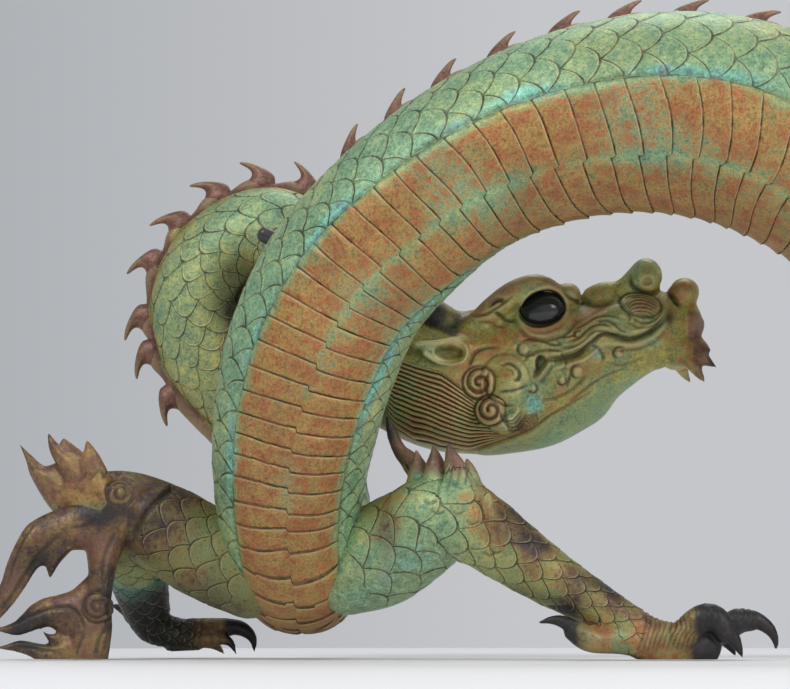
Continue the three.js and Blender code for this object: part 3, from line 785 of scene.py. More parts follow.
def scaled_limb(carving, path, columns, pitch, start, stop, height, turn=0.0):
    """Lay scales round a limb and lift them; gives the corner layer."""
    d, angle, away, radius = path.nearest(carving.at)
    steps = np.arange(0, path.length + 1, 2.0)
    widths = path.at(steps)[4].mean(1)
    gaps = pitch * np.sqrt(widths / widths.max())
    count = running_count(steps, gaps)
    u = columns * (angle + turn) / (2 * math.pi) + 0.05 * drift(carving.at, 30, 31)
    v = np.interp(d, steps, count) + 0.1 * drift(carving.at, 26, 33)
    rows = np.interp(d, steps, gaps)
    mask = (ramp(d, start - 4, start + 8) * (1 - ramp(d, stop - 8, stop + 4))
            * (1 - ramp(away / radius, LIMB_REACH, LIMB_REACH + 0.12)))
    carving.rise += scale_relief(u, v, rows, height) * mask
    return carving.corner_scales(u, v, rows * (mask > 0.4), columns)


# ---------------------------------------------------------------- patina


def add(tree, kind, links=None, **settings):
    """Add a node; links gives each input a value, or another node's output to be joined to it."""
    node = tree.nodes.new(kind)
    for name, value in settings.items():
        setattr(node, name, value)
    for key, value in (links or {}).items():
        if isinstance(value, bpy.types.NodeSocket):
            tree.links.new(value, node.inputs[key])
        else:
            node.inputs[key].default_value = value
    return node


def patinated_bronze(name, colours, gloss, lines):
    """Cast bronze, chased and patinated with copper salts and iron: a satin, mottled skin.

    The eye gets blotches of green and brown a few centimetres across, finer freckles from the
    stippled brush, near-black waxed grooves with painted shade in hollows, and pale bronze where
    edges wore back, with painted highlights there and along the lip of every scale and plate.
    """
    material = bpy.data.materials.new(name)
    material.use_nodes = True
    tree = material.node_tree
    tree.nodes.clear()
    math_node, span, mix = "ShaderNodeMath", "ShaderNodeMapRange", "ShaderNodeMix"
    place = add(tree, "ShaderNodeTexCoord").outputs["Object"]
    patina = add(tree, "ShaderNodeAttribute", attribute_name="patina")
    carving = add(tree, "ShaderNodeAttribute", attribute_name="carving")
    brown, turquoise, black = add(tree, "ShaderNodeSeparateColor", {0: patina.outputs["Color"]}).outputs
    hollow, worn_and_lit, strand = add(tree, "ShaderNodeSeparateColor", {0: carving.outputs["Color"]}).outputs
    olive, umber = patina.outputs["Alpha"], carving.outputs["Alpha"]

    # blotches 70 mm, patches 20 mm, dapples 7 mm, freckles 3 mm and grain 1.3 mm across
    blotch, patch, dapple, freckle, grain = [
        add(tree, "ShaderNodeTexNoise", {"Vector": place, "Scale": scale, "Detail": detail,
                                         "Roughness": 0.6}).outputs["Fac"]
        for scale, detail in ((14.0, 3.0), (52.0, 3.0), (150.0, 2.0), (330.0, 2.0), (760.0, 1.0))]

    # green: verdigris towards olive
    ragged = 0.0
    for noise, gain in ((patch, 1.0), (dapple, 0.9), (freckle, 1.1)):
        ragged = add(tree, math_node, {0: noise, 1: gain, 2: ragged}, operation="MULTIPLY_ADD").outputs[0]
    ragged = add(tree, math_node, {0: ragged, 1: 1.5}, operation="SUBTRACT").outputs[0]
    amount = add(tree, math_node, {0: blotch, 1: 0.9, 2: -0.45}, operation="MULTIPLY_ADD").outputs[0]
    amount = add(tree, math_node, {0: amount, 1: olive}, operation="ADD").outputs[0]
    amount = add(tree, math_node, {0: amount, 1: ragged}, operation="ADD", use_clamp=True).outputs[0]
    skin = add(tree, mix, {0: amount, 6: colours["verdigris"], 7: colours["olive"]},
               data_type="RGBA").outputs[2]

    # turquoise salts, with blue-grey freckles in them
    blue = add(tree, span, {0: patch, 1: 0.52, 2: 0.64, 3: 0.0, 4: 0.9},
               interpolation_type="SMOOTHSTEP").outputs[0]
    salts = add(tree, mix, {0: blue, 6: colours["turquoise"], 7: colours["slate"]},
                data_type="RGBA").outputs[2]

    # iron brown: rust in patches, ochre between them
    rust = add(tree, math_node, {0: patch, 1: 0.6}, operation="MULTIPLY").outputs[0]
    rust = add(tree, math_node, {0: dapple, 1: 0.4, 2: rust}, operation="MULTIPLY_ADD").outputs[0]
    rust = add(tree, span, {0: rust, 1: 0.4, 2: 0.6}, interpolation_type="SMOOTHSTEP").outputs[0]
    iron = add(tree, mix, {0: rust, 6: colours["ochre"], 7: colours["brown"]},
               data_type="RGBA").outputs[2]

    # each layer of the patina frays at its edges
    for mask, gain, low, high, over in (
        (turquoise, 0.8, 0.25, 1.0, salts),
        (brown, 0.8, 0.2, 0.85, iron),
        (umber, 0.5, 0.25, 0.8, colours["umber"]),
        (black, 0.4, 0.25, 0.85, colours["black"]),
    ):
        amount = add(tree, math_node, {0: ragged, 1: gain, 2: mask}, operation="MULTIPLY_ADD").outputs[0]
        amount = add(tree, span, {0: amount, 1: low, 2: high}, interpolation_type="SMOOTHSTEP").outputs[0]
        real = add(tree, span, {0: mask, 1: 0.0, 2: 0.2}).outputs[0]
        amount = add(tree, math_node, {0: amount, 1: real}, operation="MULTIPLY").outputs[0]
        skin = add(tree, mix, {0: amount, 6: skin, 7: over}, data_type="RGBA").outputs[2]

    # every colour is shaded by the mottling, and dark pits fleck it
    shade = 1.0
    for noise, low, high, dark, pale in (
        (blotch, 0.3, 0.7, 0.85, 1.15), (patch, 0.3, 0.7, 0.78, 1.22), (dapple, 0.3, 0.7, 0.74, 1.26),
        (freckle, 0.3, 0.7, 0.62, 1.38), (grain, 0.3, 0.7, 0.8, 1.2), (freckle, 0.6, 0.7, 1.0, 0.55),
    ):
        tone = add(tree, span, {0: noise, 1: low, 2: high, 3: dark, 4: pale}).outputs[0]
        shade = add(tree, math_node, {0: tone, 1: shade}, operation="MULTIPLY").outputs[0]
    grey = add(tree, "ShaderNodeCombineColor", {0: shade, 1: shade, 2: shade}).outputs[0]
    skin = add(tree, mix, {0: 1.0, 6: skin, 7: grey}, data_type="RGBA", blend_type="MULTIPLY").outputs[2]

    height = add(tree, math_node, {0: freckle, 1: 0.4}, operation="MULTIPLY").outputs[0]
    height = add(tree, math_node, {0: grain, 1: 0.15, 2: height}, operation="MULTIPLY_ADD").outputs[0]
    # the wax lies unevenly along the cuts
    hold = add(tree, span, {0: patch, 1: 0.38, 2: 0.6, 3: 1.0, 4: 0.5}).outputs[0]
    if lines:
        # scales: the same lattice as the relief, drawn to its exact edges
        lattice = add(tree, "ShaderNodeAttribute", attribute_name="scales").outputs["Vector"]
        u, v, pitch = add(tree, "ShaderNodeSeparateXYZ", {0: lattice}).outputs
        # belly plates count along the body; fade is how far the lines were rubbed away
        plates = add(tree, "ShaderNodeAttribute", attribute_name="plates").outputs["Vector"]
        count, length, fade = add(tree, "ShaderNodeSeparateXYZ", {0: plates}).outputs
        made = {"u": u, "v": v, "pitch": pitch, "count": count, "length": length}
        for key, operation, *terms in (
            ("row", "FLOOR", "v"),
            ("w", "FRACT", "v"),
            ("odd", "FLOORED_MODULO", "row", 2.0),
            ("phase", "MULTIPLY_ADD", "odd", 0.5, "u"),
            ("side", "PINGPONG", "phase", 0.5),
            ("centre", "MULTIPLY", "side", 2.0),
            ("across", "SUBTRACT", 1.0, "centre"),
            ("curve", "POWER", "across", SCALE_CURVE),
            ("other", "POWER", "centre", SCALE_CURVE),
            ("own", "ADD", "w", "curve"),
            ("own", "SUBTRACT", "own", 1.0),
            ("above", "ADD", "w", "other"),
            ("under", "LESS_THAN", "own", 0.0),
            # a scale's reach is widened towards its sides, where its edge runs along it
            ("far", "MULTIPLY_ADD", "under", 9.0, "own"),
            ("beyond", "MINIMUM", "far", "above"),
            ("beyond", "MULTIPLY", "beyond", "pitch"),
            ("stretch", "MULTIPLY", "across", "across"),
            ("stretch", "MULTIPLY_ADD", "stretch", 0.6, 1.0),
            ("beyond", "DIVIDE", "beyond", "stretch"),
            ("before", "MULTIPLY", "own", -1.0),
            ("over", "MULTIPLY_ADD", "under", -9.0, 9.0),
            ("before", "ADD", "before", "over"),
            ("before", "MULTIPLY", "before", "pitch"),
            ("part", "FRACT", "count"),
            ("past", "MULTIPLY", "part", "length"),
            ("left", "SUBTRACT", 1.0, "part"),
            ("left", "MULTIPLY", "left", "length"),
        ):
            links = {i: made.get(term, term) for i, term in enumerate(terms)}
            made[key] = add(tree, math_node, links, operation=operation).outputs[0]
        marks = []
        for gap, low, high, size in (("beyond", 0.5, 2.0, pitch), ("past", 0.6, 2.3, length),
                                     ("before", 0.2, 2.0, pitch), ("left", 0.3, 2.2, length)):
            mark = add(tree, span, {0: made[gap], 1: low, 2: high, 3: 1.0, 4: 0.0},
                       interpolation_type="SMOOTHSTEP").outputs[0]
            real = add(tree, math_node, {0: size, 1: 2.0}, operation="GREATER_THAN").outputs[0]
            marks.append(add(tree, math_node, {0: mark, 1: real}, operation="MULTIPLY").outputs[0])
        cuts = add(tree, math_node, {0: marks[0], 1: marks[1]}, operation="MAXIMUM").outputs[0]
        # painted highlight: the lip just before each scale's and plate's edge is painted pale, as well as
        # raised in the bump
        painted_highlight_rims = add(tree, math_node, {0: marks[2], 1: marks[3]}, operation="MAXIMUM").outputs[0]
        pale = add(tree, math_node, {0: cuts, 1: fade}, operation="MULTIPLY").outputs[0]
        dark = add(tree, math_node, {0: cuts, 1: pale}, operation="SUBTRACT").outputs[0]
        dark = add(tree, math_node, {0: dark, 1: hold}, operation="MULTIPLY").outputs[0]
        rubbed_and_lit = add(tree, math_node, {0: painted_highlight_rims, 1: 0.5}, operation="MULTIPLY").outputs[0]
        rubbed_and_lit = add(tree, math_node, {0: rubbed_and_lit, 1: pale}, operation="MAXIMUM").outputs[0]
        height = add(tree, math_node, {0: cuts, 1: -1.0, 2: height}, operation="MULTIPLY_ADD").outputs[0]
        height = add(tree, math_node, {0: painted_highlight_rims, 1: 0.4, 2: height}, operation="MULTIPLY_ADD").outputs[0]
    else:
        # strands of hair: a whole number is the bottom of a groove, a half the top of a strand
        part = add(tree, math_node, {0: strand, 1: 0.5}, operation="PINGPONG").outputs[0]
        dark = add(tree, span, {0: part, 1: 0.06, 2: 0.22, 3: 1.0, 4: 0.0},
                   interpolation_type="SMOOTHSTEP").outputs[0]
        rim = add(tree, span, {0: part, 1: 0.28, 2: 0.46, 3: 0.0, 4: 0.75},
                  interpolation_type="SMOOTHSTEP").outputs[0]
        still = add(tree, math_node, {0: strand, 1: 0.5, 2: 0.001}, operation="COMPARE").outputs[0]
        rubbed_and_lit = add(tree, math_node, {0: rim, 1: still}, operation="SUBTRACT", use_clamp=True).outputs[0]
        height = add(tree, math_node, {0: dark, 1: -0.8, 2: height}, operation="MULTIPLY_ADD").outputs[0]

    # pale bronze for rubbing and painted highlights; near-black for waxed grooves and painted shade in
    # hollows
    for own, other, gain, over in ((rubbed_and_lit, worn_and_lit, 0.7, "rubbed_and_lit"), (dark, hollow, 0.9, "wax_and_shade")):
        amount = add(tree, math_node, {0: own, 1: other}, operation="MAXIMUM").outputs[0]
        amount = add(tree, math_node, {0: amount, 1: gain}, operation="MULTIPLY", use_clamp=True).outputs[0]
        skin = add(tree, mix, {0: amount, 6: skin, 7: colours[over]}, data_type="RGBA").outputs[2]

    rough = add(tree, span, {0: freckle, 1: 0.3, 2: 0.7, 3: gloss - 0.08, 4: gloss + 0.1}).outputs[0]
    bump = add(tree, "ShaderNodeBump",
               {"Strength": 1.0, "Distance": 0.001, "Height": height}).outputs[0]
    shader = add(tree, "ShaderNodeBsdfPrincipled",
                 {"Base Color": skin, "Roughness": rough, "Normal": bump, "Metallic": 0.25})
    add(tree, "ShaderNodeOutputMaterial", {0: shader.outputs[0]})
    return material


def polished_black(name, colour, gloss):
    """Bronze burnished and lacquered black: dark, smooth and glossy, with soft scratches."""
    material = bpy.data.materials.new(name)
    material.use_nodes = True
    tree = material.node_tree
    tree.nodes.clear()
    place = add(tree, "ShaderNodeTexCoord").outputs["Object"]
    cloud = add(tree, "ShaderNodeTexNoise", {"Vector": place, "Scale": 90.0, "Detail": 3.0}).outputs["Fac"]
    grain = add(tree, "ShaderNodeTexNoise", {"Vector": place, "Scale": 600.0, "Detail": 2.0}).outputs["Fac"]
    paler = tuple(min(1.0, c * 2.2 + 0.012) for c in colour[:3]) + (1.0,)
    base = add(tree, "ShaderNodeMix", {0: cloud, 6: colour, 7: paler}, data_type="RGBA").outputs[2]
    rough = add(tree, "ShaderNodeMapRange", {0: grain, 1: 0.3, 2: 0.7, 3: gloss - 0.05,
                                             4: gloss + 0.07}).outputs[0]
    bump = add(tree, "ShaderNodeBump", {"Strength": 0.25, "Distance": 0.0004, "Height": grain}).outputs[0]
    shader = add(tree, "ShaderNodeBsdfPrincipled",
                 {"Base Color": base, "Roughness": rough, "Normal": bump, "Metallic": 0.1,
                  "Coat Weight": 0.4, "Coat Roughness": 0.12})
    add(tree, "ShaderNodeOutputMaterial", {0: shader.outputs[0]})
    return material


def finishes():
    """Make each finish once, from the colours in the panel."""
    c = bpy.context.scene.dragon
    colours = {key: tuple(getattr(c, key)) + (1.0,) for key in
               ("verdigris", "olive", "turquoise", "slate", "brown", "ochre", "umber", "black",
                "rubbed_and_lit", "wax_and_shade")}
    made = bpy.data.materials
    if "bronze_scales_patina" not in made:
        patinated_bronze("bronze_scales_patina", colours, 0.46, True)
        patinated_bronze("bronze_carved_hair_patina", colours, 0.44, False)
        polished_black("bronze_black_horn", colours["black"], 0.5)
        polished_black("bronze_black_lacquered_eye", tuple(linear("#141318")) + (1.0,), 0.12)
    return (made["bronze_scales_patina"], made["bronze_carved_hair_patina"],
            made["bronze_black_horn"], made["bronze_black_lacquered_eye"])


# ---------------------------------------------------------------- the add-on


class DragonSettings(bpy.types.PropertyGroup):
    """Sizes and colours of the casting."""

    scale_relief: bpy.props.FloatProperty(
        name="Scale relief", description="How far a scale stands over the next",
        default=0.0013, min=0.0, unit="LENGTH")
    plate_lip: bpy.props.FloatProperty(
        name="Plate lip", description="How far a belly plate stands over the next",
        default=0.0022, min=0.0, unit="LENGTH")
    near_step: bpy.props.FloatProperty(
        name="Fine spacing", description="Spacing of mesh rows on the arch",
        default=0.0024, min=0.001, unit="LENGTH")
    verdigris: bpy.props.FloatVectorProperty(
        name="Verdigris", description="Green of the flanks", default=linear("#88b089"), subtype="COLOR")
    olive: bpy.props.FloatVectorProperty(
        name="Olive", description="Green-brown between", default=linear("#a39a52"), subtype="COLOR")
    turquoise: bpy.props.FloatVectorProperty(
        name="Turquoise", description="Copper salts along the belly", default=linear("#78b9a6"),
        subtype="COLOR")
    slate: bpy.props.FloatVectorProperty(
        name="Slate", description="Blue-grey freckles in the salts", default=linear("#5f7f88"),
        subtype="COLOR")
    brown: bpy.props.FloatVectorProperty(
        name="Iron brown", description="Rusty brown of the plates", default=linear("#96603a"),
        subtype="COLOR")
    ochre: bpy.props.FloatVectorProperty(
        name="Ochre", description="Yellow-brown between the rust", default=linear("#b59253"),
        subtype="COLOR")
    umber: bpy.props.FloatVectorProperty(
        name="Umber", description="Purple-brown of the crest", default=linear("#7c5748"),
        subtype="COLOR")
    black: bpy.props.FloatVectorProperty(
        name="Black", description="Claws and horns", default=linear("#2b282a"), subtype="COLOR")
    # pale bronze where the patina wore thin, also used for painted highlights
    rubbed_and_lit: bpy.props.FloatVectorProperty(
        name="Rubbed edge", description="Where the patina was rubbed back", default=linear("#cdc08c"),
        subtype="COLOR")
    # near-black of waxed grooves, also used for painted shade in hollows
    wax_and_shade: bpy.props.FloatVectorProperty(
        name="Dark wax", description="Wax left in grooves", default=linear("#1f2018"), subtype="COLOR")


class DRAGON_OT_trunk(bpy.types.Operator):
    """Build neck, arch, hips and tail"""

    bl_idname = "dragon.trunk"
    bl_label = "Trunk"

    def execute(self, context):
        sizes = context.scene.dragon
        scales = finishes()[0]
        fine = sizes.near_step * 1000
        for name, start, stop, coarse, columns in STRETCHES:
            trunk_piece(name, scales, sizes, start, stop, fine * coarse, columns)
        return {"FINISHED"}


class DRAGON_OT_crest_hooks(bpy.types.Operator):
    """Build the hooks of the crest"""

    bl_idname = "dragon.crest_hooks"
    bl_label = "Crest hooks"

    def execute(self, context):
        grids, tips = zip(*(hook_grid(*row) for row in hook_sizes()))
        tip = np.concatenate([np.repeat(t, grid.shape[1]) for t, grid in zip(tips, grids)])
        patina = np.zeros((len(tip), 4))
        patina[:, 2] = 0.45 * ramp(tip, 0.8, 1.0)
        patina[:, 0] = 0.3 * (1 - tip)
        carving = np.zeros((len(tip), 4))
        carving[:, 1] = 0.25 * ramp(tip, 0.3, 0.9)
        carving[:, 2] = 0.5
        carving[:, 3] = 1.0
        mesh = skin("crest_hooks", grids, {"patina": patina, "carving": carving})
        put("crest_hooks", mesh, finishes()[1])
        return {"FINISHED"}


# ---------------------------------------------------------------- the head

TILTED = (-0.2, 0, 1)
SKULL = Path([
    station(352, 133, 352, [56, 52, 56], (0.5, 0, 0.86)),
    station(395, 122, 312, [68, 60, 70], (0.3, 0, 0.95)),
    station(440, 113, 292, [72, 60, 77]),
    station(473, 110, 294, [68, 64, 87], TILTED),
    station(504, 108, 300, [63, 64, 91], TILTED),
    station(535, 106, 307, [58, 66, 92], TILTED),
    station(563, 104, 315, [54, 58, 86], TILTED),
    station(584, 103, 322, [50, 48, 79], TILTED),
    station(602, 102, 329, [46, 40, 65], TILTED),
    station(628, 100, 340, [42, 34, 58], TILTED),
    station(654, 98, 347, [37, 34, 53], TILTED),
    station(678, 96, 346, [30, 28, 50], TILTED),
    station(693, 95, 342, [22, 24, 44], TILTED),
    station(703, 95, 336, [13, 18, 34], TILTED),
])
EYE = (546.0, 68.0, 355.0)
# x, z, radius and first angle of the curled rings on cheek and jaw
RINGS = (
    (526, 313, 6, 140),
    (535, 273, 4, 200),
    (565, 281, 4, 180),
    (581, 290, 6, 60),
    (624, 310, 5, 40),
    (580, 328, 2.5, 90),
)


def head_patches():
    """List the lumps that fuse into the head, on both sides of its middle plane."""
    paired = [
        tube(path_of([(464, 66, 334, 9), (490, 62, 350, 12), (518, 60, 371, 13), (545, 62, 381, 9.5),
                      (568, 70, 372, 6.5)])),
        tube(path_of([(480, 86, 324, 18), (447, 75, 344, 16), (428, 71, 355, 13)])),
        ball(654, 82, 391, 17.5, 18, 20),
        ball(694, 86, 375.5, 16, 16, 15.5),
        ball(700, 90, 346, 12, 17, 20),
        ball(688, 92, 316, 20, 18, 19),
        ball(520, 68, 293, 38, 24, 36, tilt=-10),
        ball(508, 56, 277, 20, 13, 20),
        ball(573, 76, 371, 14, 16, 13.5),
        tube(path_of([(598, 90, 370, 12), (611, 88, 373, 14), (624, 88, 374, 13), (636, 86, 380, 13),
                      (648, 84, 390, 15)])),
        tube(path_of([(540, 66, 318, 17), (575, 62, 322, 16), (606, 64, 336, 17), (634, 70, 350, 16),
                      (656, 80, 352, 14)])),
        tube(path_of([(556, 64, 288, 15), (590, 68, 300, 14), (625, 74, 312, 12), (660, 84, 322, 12)])),
        ball(480, 58, 278, 16, 13, 16),
        ball(491, 56, 249, 18, 14, 17),
        tube(path_of([(491, 54, 240, 8), (508, 54, 238, 9), (520, 56, 250, 5)])),
        blade([(487.5, 325), (467.5, 327.5), (450, 326), (430.5, 321), (412.5, 318)],
              [(479.5, 293.5), (467, 295.5), (453, 292.5), (437.5, 295.5), (424.5, 303.5), (412.5, 318)],
              (16, 10, 2), (62, 46, 34)),
    ]
    barbs = [
        blade([(699.5, 330), (709.5, 331), (717, 323), (722.5, 313.5)], [(697, 313.5), (707.5, 312.5),
            (715.5, 311.5), (722.5, 313.5)],
              (12, 8, 1.8), (92, 86, 84)),
        blade([(700.5, 319), (713, 314), (721, 305.5), (728, 295.5)], [(694, 304.5), (706.5, 301.5),
            (717.5, 296.5), (728, 295.5)],
              (12, 8, 1.8), (88, 80, 78)),
        blade([(702, 309.5), (709, 299), (712.5, 288.5), (714, 278.5)], [(685.5, 304), (694.5, 295),
            (704, 285.5), (714, 278.5)],
              (11, 8, 1.8), (84, 76, 74)),
    ]
    far = [mirrored(patch, HEAD_MIDDLE) for patch in paired]
    far += [mirrored(patch, HEAD_MIDDLE) + (-8, 0, 5) for patch in barbs]
    return [tube(SKULL)] + paired + barbs + far


def mane_phase(x, z):
    """Count strands of the mane down from its upper edge, fanning to its lower edge."""
    knots = [330, 352, 370, 381, 394, 414, 441, 471, 502, 532, 551, 566]
    top = [338, 324, 314, 309, 305, 298, 289, 268, 246, 247, 251, 256]
    low = [300, 286, 267, 254, 237, 223, 214, 213.5, 221.5, 233, 245, 252]
    a, b = np.interp(x, knots, top), np.interp(x, knots, low)
    sway = 0.35 * np.sin(x / 21.0) + 0.2 * np.sin(x / 9.0 + z / 14)
    return 15 * (a - z) / np.maximum(a - b, 4) + sway, (a - z) / (a - b)


def carve_head(head):
    """Carve eyes, lips, curls, wrinkles and mane, alike on both sides."""
    head.relax(2)
    head.refine(lambda at, normal: (at[:, 1] < 108) & (at[:, 0] > 372) & (normal[:, 1] < -0.05))
    head.relax(2, strength=0.5)
    head.start_paint()
    x, y, z = head.at.T
    side = ramp(np.abs(y - HEAD_MIDDLE + 0.02 * (x - 500)), 10, 24)
    face = side * ramp(x, 486, 500)

    # eye socket, lids and brow
    r = np.hypot((x - 546) / 25, (z - 355 - 0.15 * (x - 546)) / 20.5)
    socket = np.clip(1 - r**4, 0, 1) * side
    head.rise -= 5.0 * socket
    head.mark(0, 0.8 * (socket > 0.05))
    rim = [(521.5, 348.5), (526.5, 364), (538.5, 373), (553, 377), (566, 369), (571, 354.5),
        (565, 340.5), (548.5, 333), (531.5, 334), (521, 344.5)]
    head.raise_line(rim, 3.4, 2.2, side, worn_and_lit=0.3, taper=False)
    lid = [(517, 344.5), (530.5, 329), (548.5, 327), (566, 334), (577.5, 350.5)]
    head.raise_line(lid, 2.6, 1.8, side, worn_and_lit=0.3)
    head.cut([(519, 336.5), (532.5, 324), (550.5, 322), (569, 329), (580.5, 342.5)], 1.8, 1.6, side, 0.6)
    head.cut([(492, 357.5), (498, 362.5), (506.5, 362.5)], 2.4, 3.2, side, 1.0)
    head.cut([(496, 351), (507, 345), (518.5, 342)], 1.8, 2.4, side, 0.9)
    head.cut([(471.5, 347), (488, 349), (500, 356), (514.5, 366.5)], 1.6, 1.6, side, 0.7)
    head.raise_line([(475.5, 354.5), (492, 365), (512.5, 378), (533, 385.5),
        (551.5, 384.5)], 5.0, 2.0, side, worn_and_lit=0.35)
    head.cut([(479.5, 341), (494, 339), (507.5, 335)], 1.6, 1.4, side, 0.6)

    # bump before the eye, bridge of the snout, nostril and front of the snout
    head.cut([(567, 374.5), (573, 367.5), (581, 363.5), (592.5, 364.5)], 1.8, 2.2, side, 0.7)
    head.cut([(590.5, 367.5), (596.5, 361.5), (609, 360.5), (619, 366.5)], 2.0, 1.8, side, 0.6)
    head.cut([(621.5, 379), (623.5, 372), (629.5, 366.5)], 1.5, 1.2, side, 0.5)
    head.cut([(636, 392.5), (638, 382), (646, 374.5), (657, 372.5), (668.5, 376)], 2.0, 3.0, side, 0.95)
    head.dome(654, 384, 6.5, 4.5, -3.2, side, tilt=10)
    head.cut([(670, 384.5), (675, 375.5), (682, 367), (688, 359)], 2.2, 3.4, side, 0.95)
    head.raise_line([(683, 381.5), (691.5, 384.5), (699.5, 381.5)], 2.0, 1.2, side)

    # the wrinkled pad beside the nostril
    head.dome(646.5, 360, 21, 12.5, 4.5, side, tilt=-8, edge=1.0)
    for k in range(7):
        head.cut(fan([(626.5, 358.8), (636.8, 366.5), (649.1, 368.0), (661.3, 364.5), (668.4, 360.8)],
                     [(1.4, -3.2), (-0.0, -3.2), (-0.0, -3.2), (-0.0, -3.2), (-1.1, -3.2)], k),
                         1.0, 1.3, side, 0.8)

    # lips: a long winding mouth line, the ridges over it, and strands of whisker
    mouth = [(674, 351), (669, 342.5), (659, 333.5), (647, 327), (633.5, 324), (622, 326), (607, 327),
        (595, 318), (583, 308.5), (571.5, 304.5), (558, 302.5), (542.5, 301)]
    head.cut(mouth, 2.1, 4.6, side, 1.0)
    head.raise_line([(669, 351), (661, 341.5), (647.5, 334.5), (633.5, 331.5), (621, 333.5), (606, 334),
        (591.5, 325), (579, 315), (565, 310), (548.5, 308)], 2.6, 2.4, side)
    head.raise_line([(673, 340.5), (661, 328.5), (647.5, 321), (633, 318), (618, 319), (607.5, 318),
        (598.5, 311), (586.5, 302), (571, 296.5), (555.5, 292.5), (543.5, 283.5)], 2.8, 2.4, side)
    head.cut([(672, 332.5), (660.5, 321), (645.5, 314.5), (631, 312.5), (616, 312)], 1.4, 1.3, side, 0.6)
    for strand in ([(600, 341), (611, 342), (618.5, 338.5), (624.5, 333), (634.5, 331)],
                   [(571, 319.5), (582.5, 324.5), (589.5, 331.5), (598, 337), (608, 337.5), (616, 333.5)],
                   [(563, 313), (576.5, 315.5), (586.5, 321), (593.5, 327.5), (601, 331), (613, 330)]):
        head.cut(strand, 1.2, 1.6, side, 0.85)
    for strand in ([(637, 345.5), (648, 341), (660.5, 343.5), (669.5, 352.5)], [(633, 340), (646, 336),
        (660.5, 339), (671.5, 348.5)],
                   [(575.5, 332), (588, 338), (600, 345), (614.5, 347), (628.5, 343)],
                   [(563, 324.5), (575.5, 326.5), (583.5, 333)]):
        head.cut(strand, 1.1, 1.2, side, 0.7)

    # corner of the mouth with its fang, and the waves round it
    head.dome(543.5, 298.5, 6, 8, -5.0, side)
    corner = head.near(line([(542.5, 304.5), (541.5, 295.5), (538.5, 289.5)]))[0]
    head.mark(0, bell(corner, 4.0) * side)
    head.raise_line([(538, 280), (543.5, 288), (549.5, 295.5), (555.5, 300.5)], 2.0, 4.2, side, worn_and_lit=0.9)
    head.cut([(535, 282), (540.5, 291.5), (545.5, 299.5)], 1.2, 1.8, side, 0.9)
    head.cut([(542.5, 277), (548.5, 286), (554.5, 294.5)], 1.2, 1.8, side, 0.8)
    head.cut([(521.5, 320), (532, 323.5), (543.5, 322), (553.5, 317.5), (563.5, 317),
        (559, 321)], 1.2, 1.6, side, 0.85)
    head.cut([(529.5, 306), (536.5, 309.5), (546, 311.5), (555.5, 311.5),
        (566, 310.5)], 1.2, 1.6, side, 0.85)
    head.cut([(526, 299.5), (530, 305.5), (538.5, 307.5)], 1.2, 1.4, side, 0.85)

    # rings and comma curls
    for ring_x, ring_z, radius, start in RINGS:
        head.dome(ring_x, ring_z, radius, radius, 2.2, face)
        head.cut(spiral(ring_x, ring_z, radius + 0.8, radius + 0.8, start, 0.6), 1.1, 1.8, face, 0.9)
    head.cut([(569.5, 274), (572.5, 282), (575.5, 289)], 1.2, 1.5, side, 0.8)
    head.cut([(503, 295.5), (510.5, 297), (517.5, 293), (521, 287), (519, 281.5),
        (513.5, 279)], 1.3, 2.4, side, 0.9)
    head.cut([(508.5, 291.5), (513.5, 289.5), (513.5, 285.5)], 1.1, 1.2, side, 0.6)
    head.cut([(501.5, 269.5), (515, 271), (528.5, 276.5)], 1.2, 1.6, side, 0.9)
    head.cut([(489, 289.5), (486, 276.5), (490, 262), (501.5, 255), (516.5, 255)], 1.8, 2.4, side, 0.75)
    head.cut([(593.5, 316), (602, 314.5), (607.5, 307), (606.5, 300.5)], 1.6, 1.8, side, 0.8)
    head.cut([(542.5, 261), (558.5, 263), (577, 273), (593.5, 289.5)], 1.6, 1.5, side, 0.55)
    head.cut([(613.5, 299.5), (626, 297.5), (640, 301.5), (654.5, 308)], 1.6, 1.4, side, 0.5)
    head.cut([(563, 310), (569, 299.5), (565, 289.5)], 1.2, 1.2, side, 0.6)

    # hair curls behind the cheek
    for cx, cz, outer, turns, start in ((480, 278, 15, 1.5, 75), (491.5, 250, 14, 1.4, 60)):
        head.dome(cx, cz, outer + 1, outer + 1, 4.0, side, edge=2.4)
        head.cut(spiral(cx, cz, outer - 0.5, 2.2, start, turns), 1.3, 3.2, side, 1.0, taper=False)
        head.cut(spiral(cx, cz, outer - 3.0, 4.0, start + 10, turns * 0.7), 0.7, 0.9, side, 0.55)
        head.cut(spiral(cx, cz, outer - 5.2, 5.2, start + 25, turns * 0.6), 0.7, 0.9, side, 0.55)
        head.dome(cx, cz, 3.6, 3.6, 2.6, side)
    for k in range(4):
        head.cut(fan([(498.6, 249.8), (504.7, 240.7), (514.9, 239.6), (523.0, 248.8)],
                     [(3.0, -1.5), (2.0, -3.1), (2.0, -2.6), (1.5, -2.4)], k), 1.0, 1.6, side, 0.85)

    # ear
    head.dome(449.5, 308.5, 15, 7.8, -10.0, side * ramp(np.abs(y - HEAD_MIDDLE), 46, 52), tilt=-4)
    ear = np.hypot((x - 449.5) / 15, (z - 309.5) / 7.6)
    head.mark(0, 0.7 * ramp(1.0 - ear, 0, 0.6) * side)
    head.raise_line([(415, 315.5), (432.5, 317.5), (449.5, 319.5), (463, 317.5), (468, 308.5),
        (463, 299), (450.5, 296), (437.5, 299), (424.5, 307.5)], 2.2, 3.0, side, worn_and_lit=0.8, taper=False)
    head.cut([(469, 291.5), (472, 300.5), (477, 309), (487.5, 314), (498.5, 314)], 1.8, 2.0, side, 0.8)

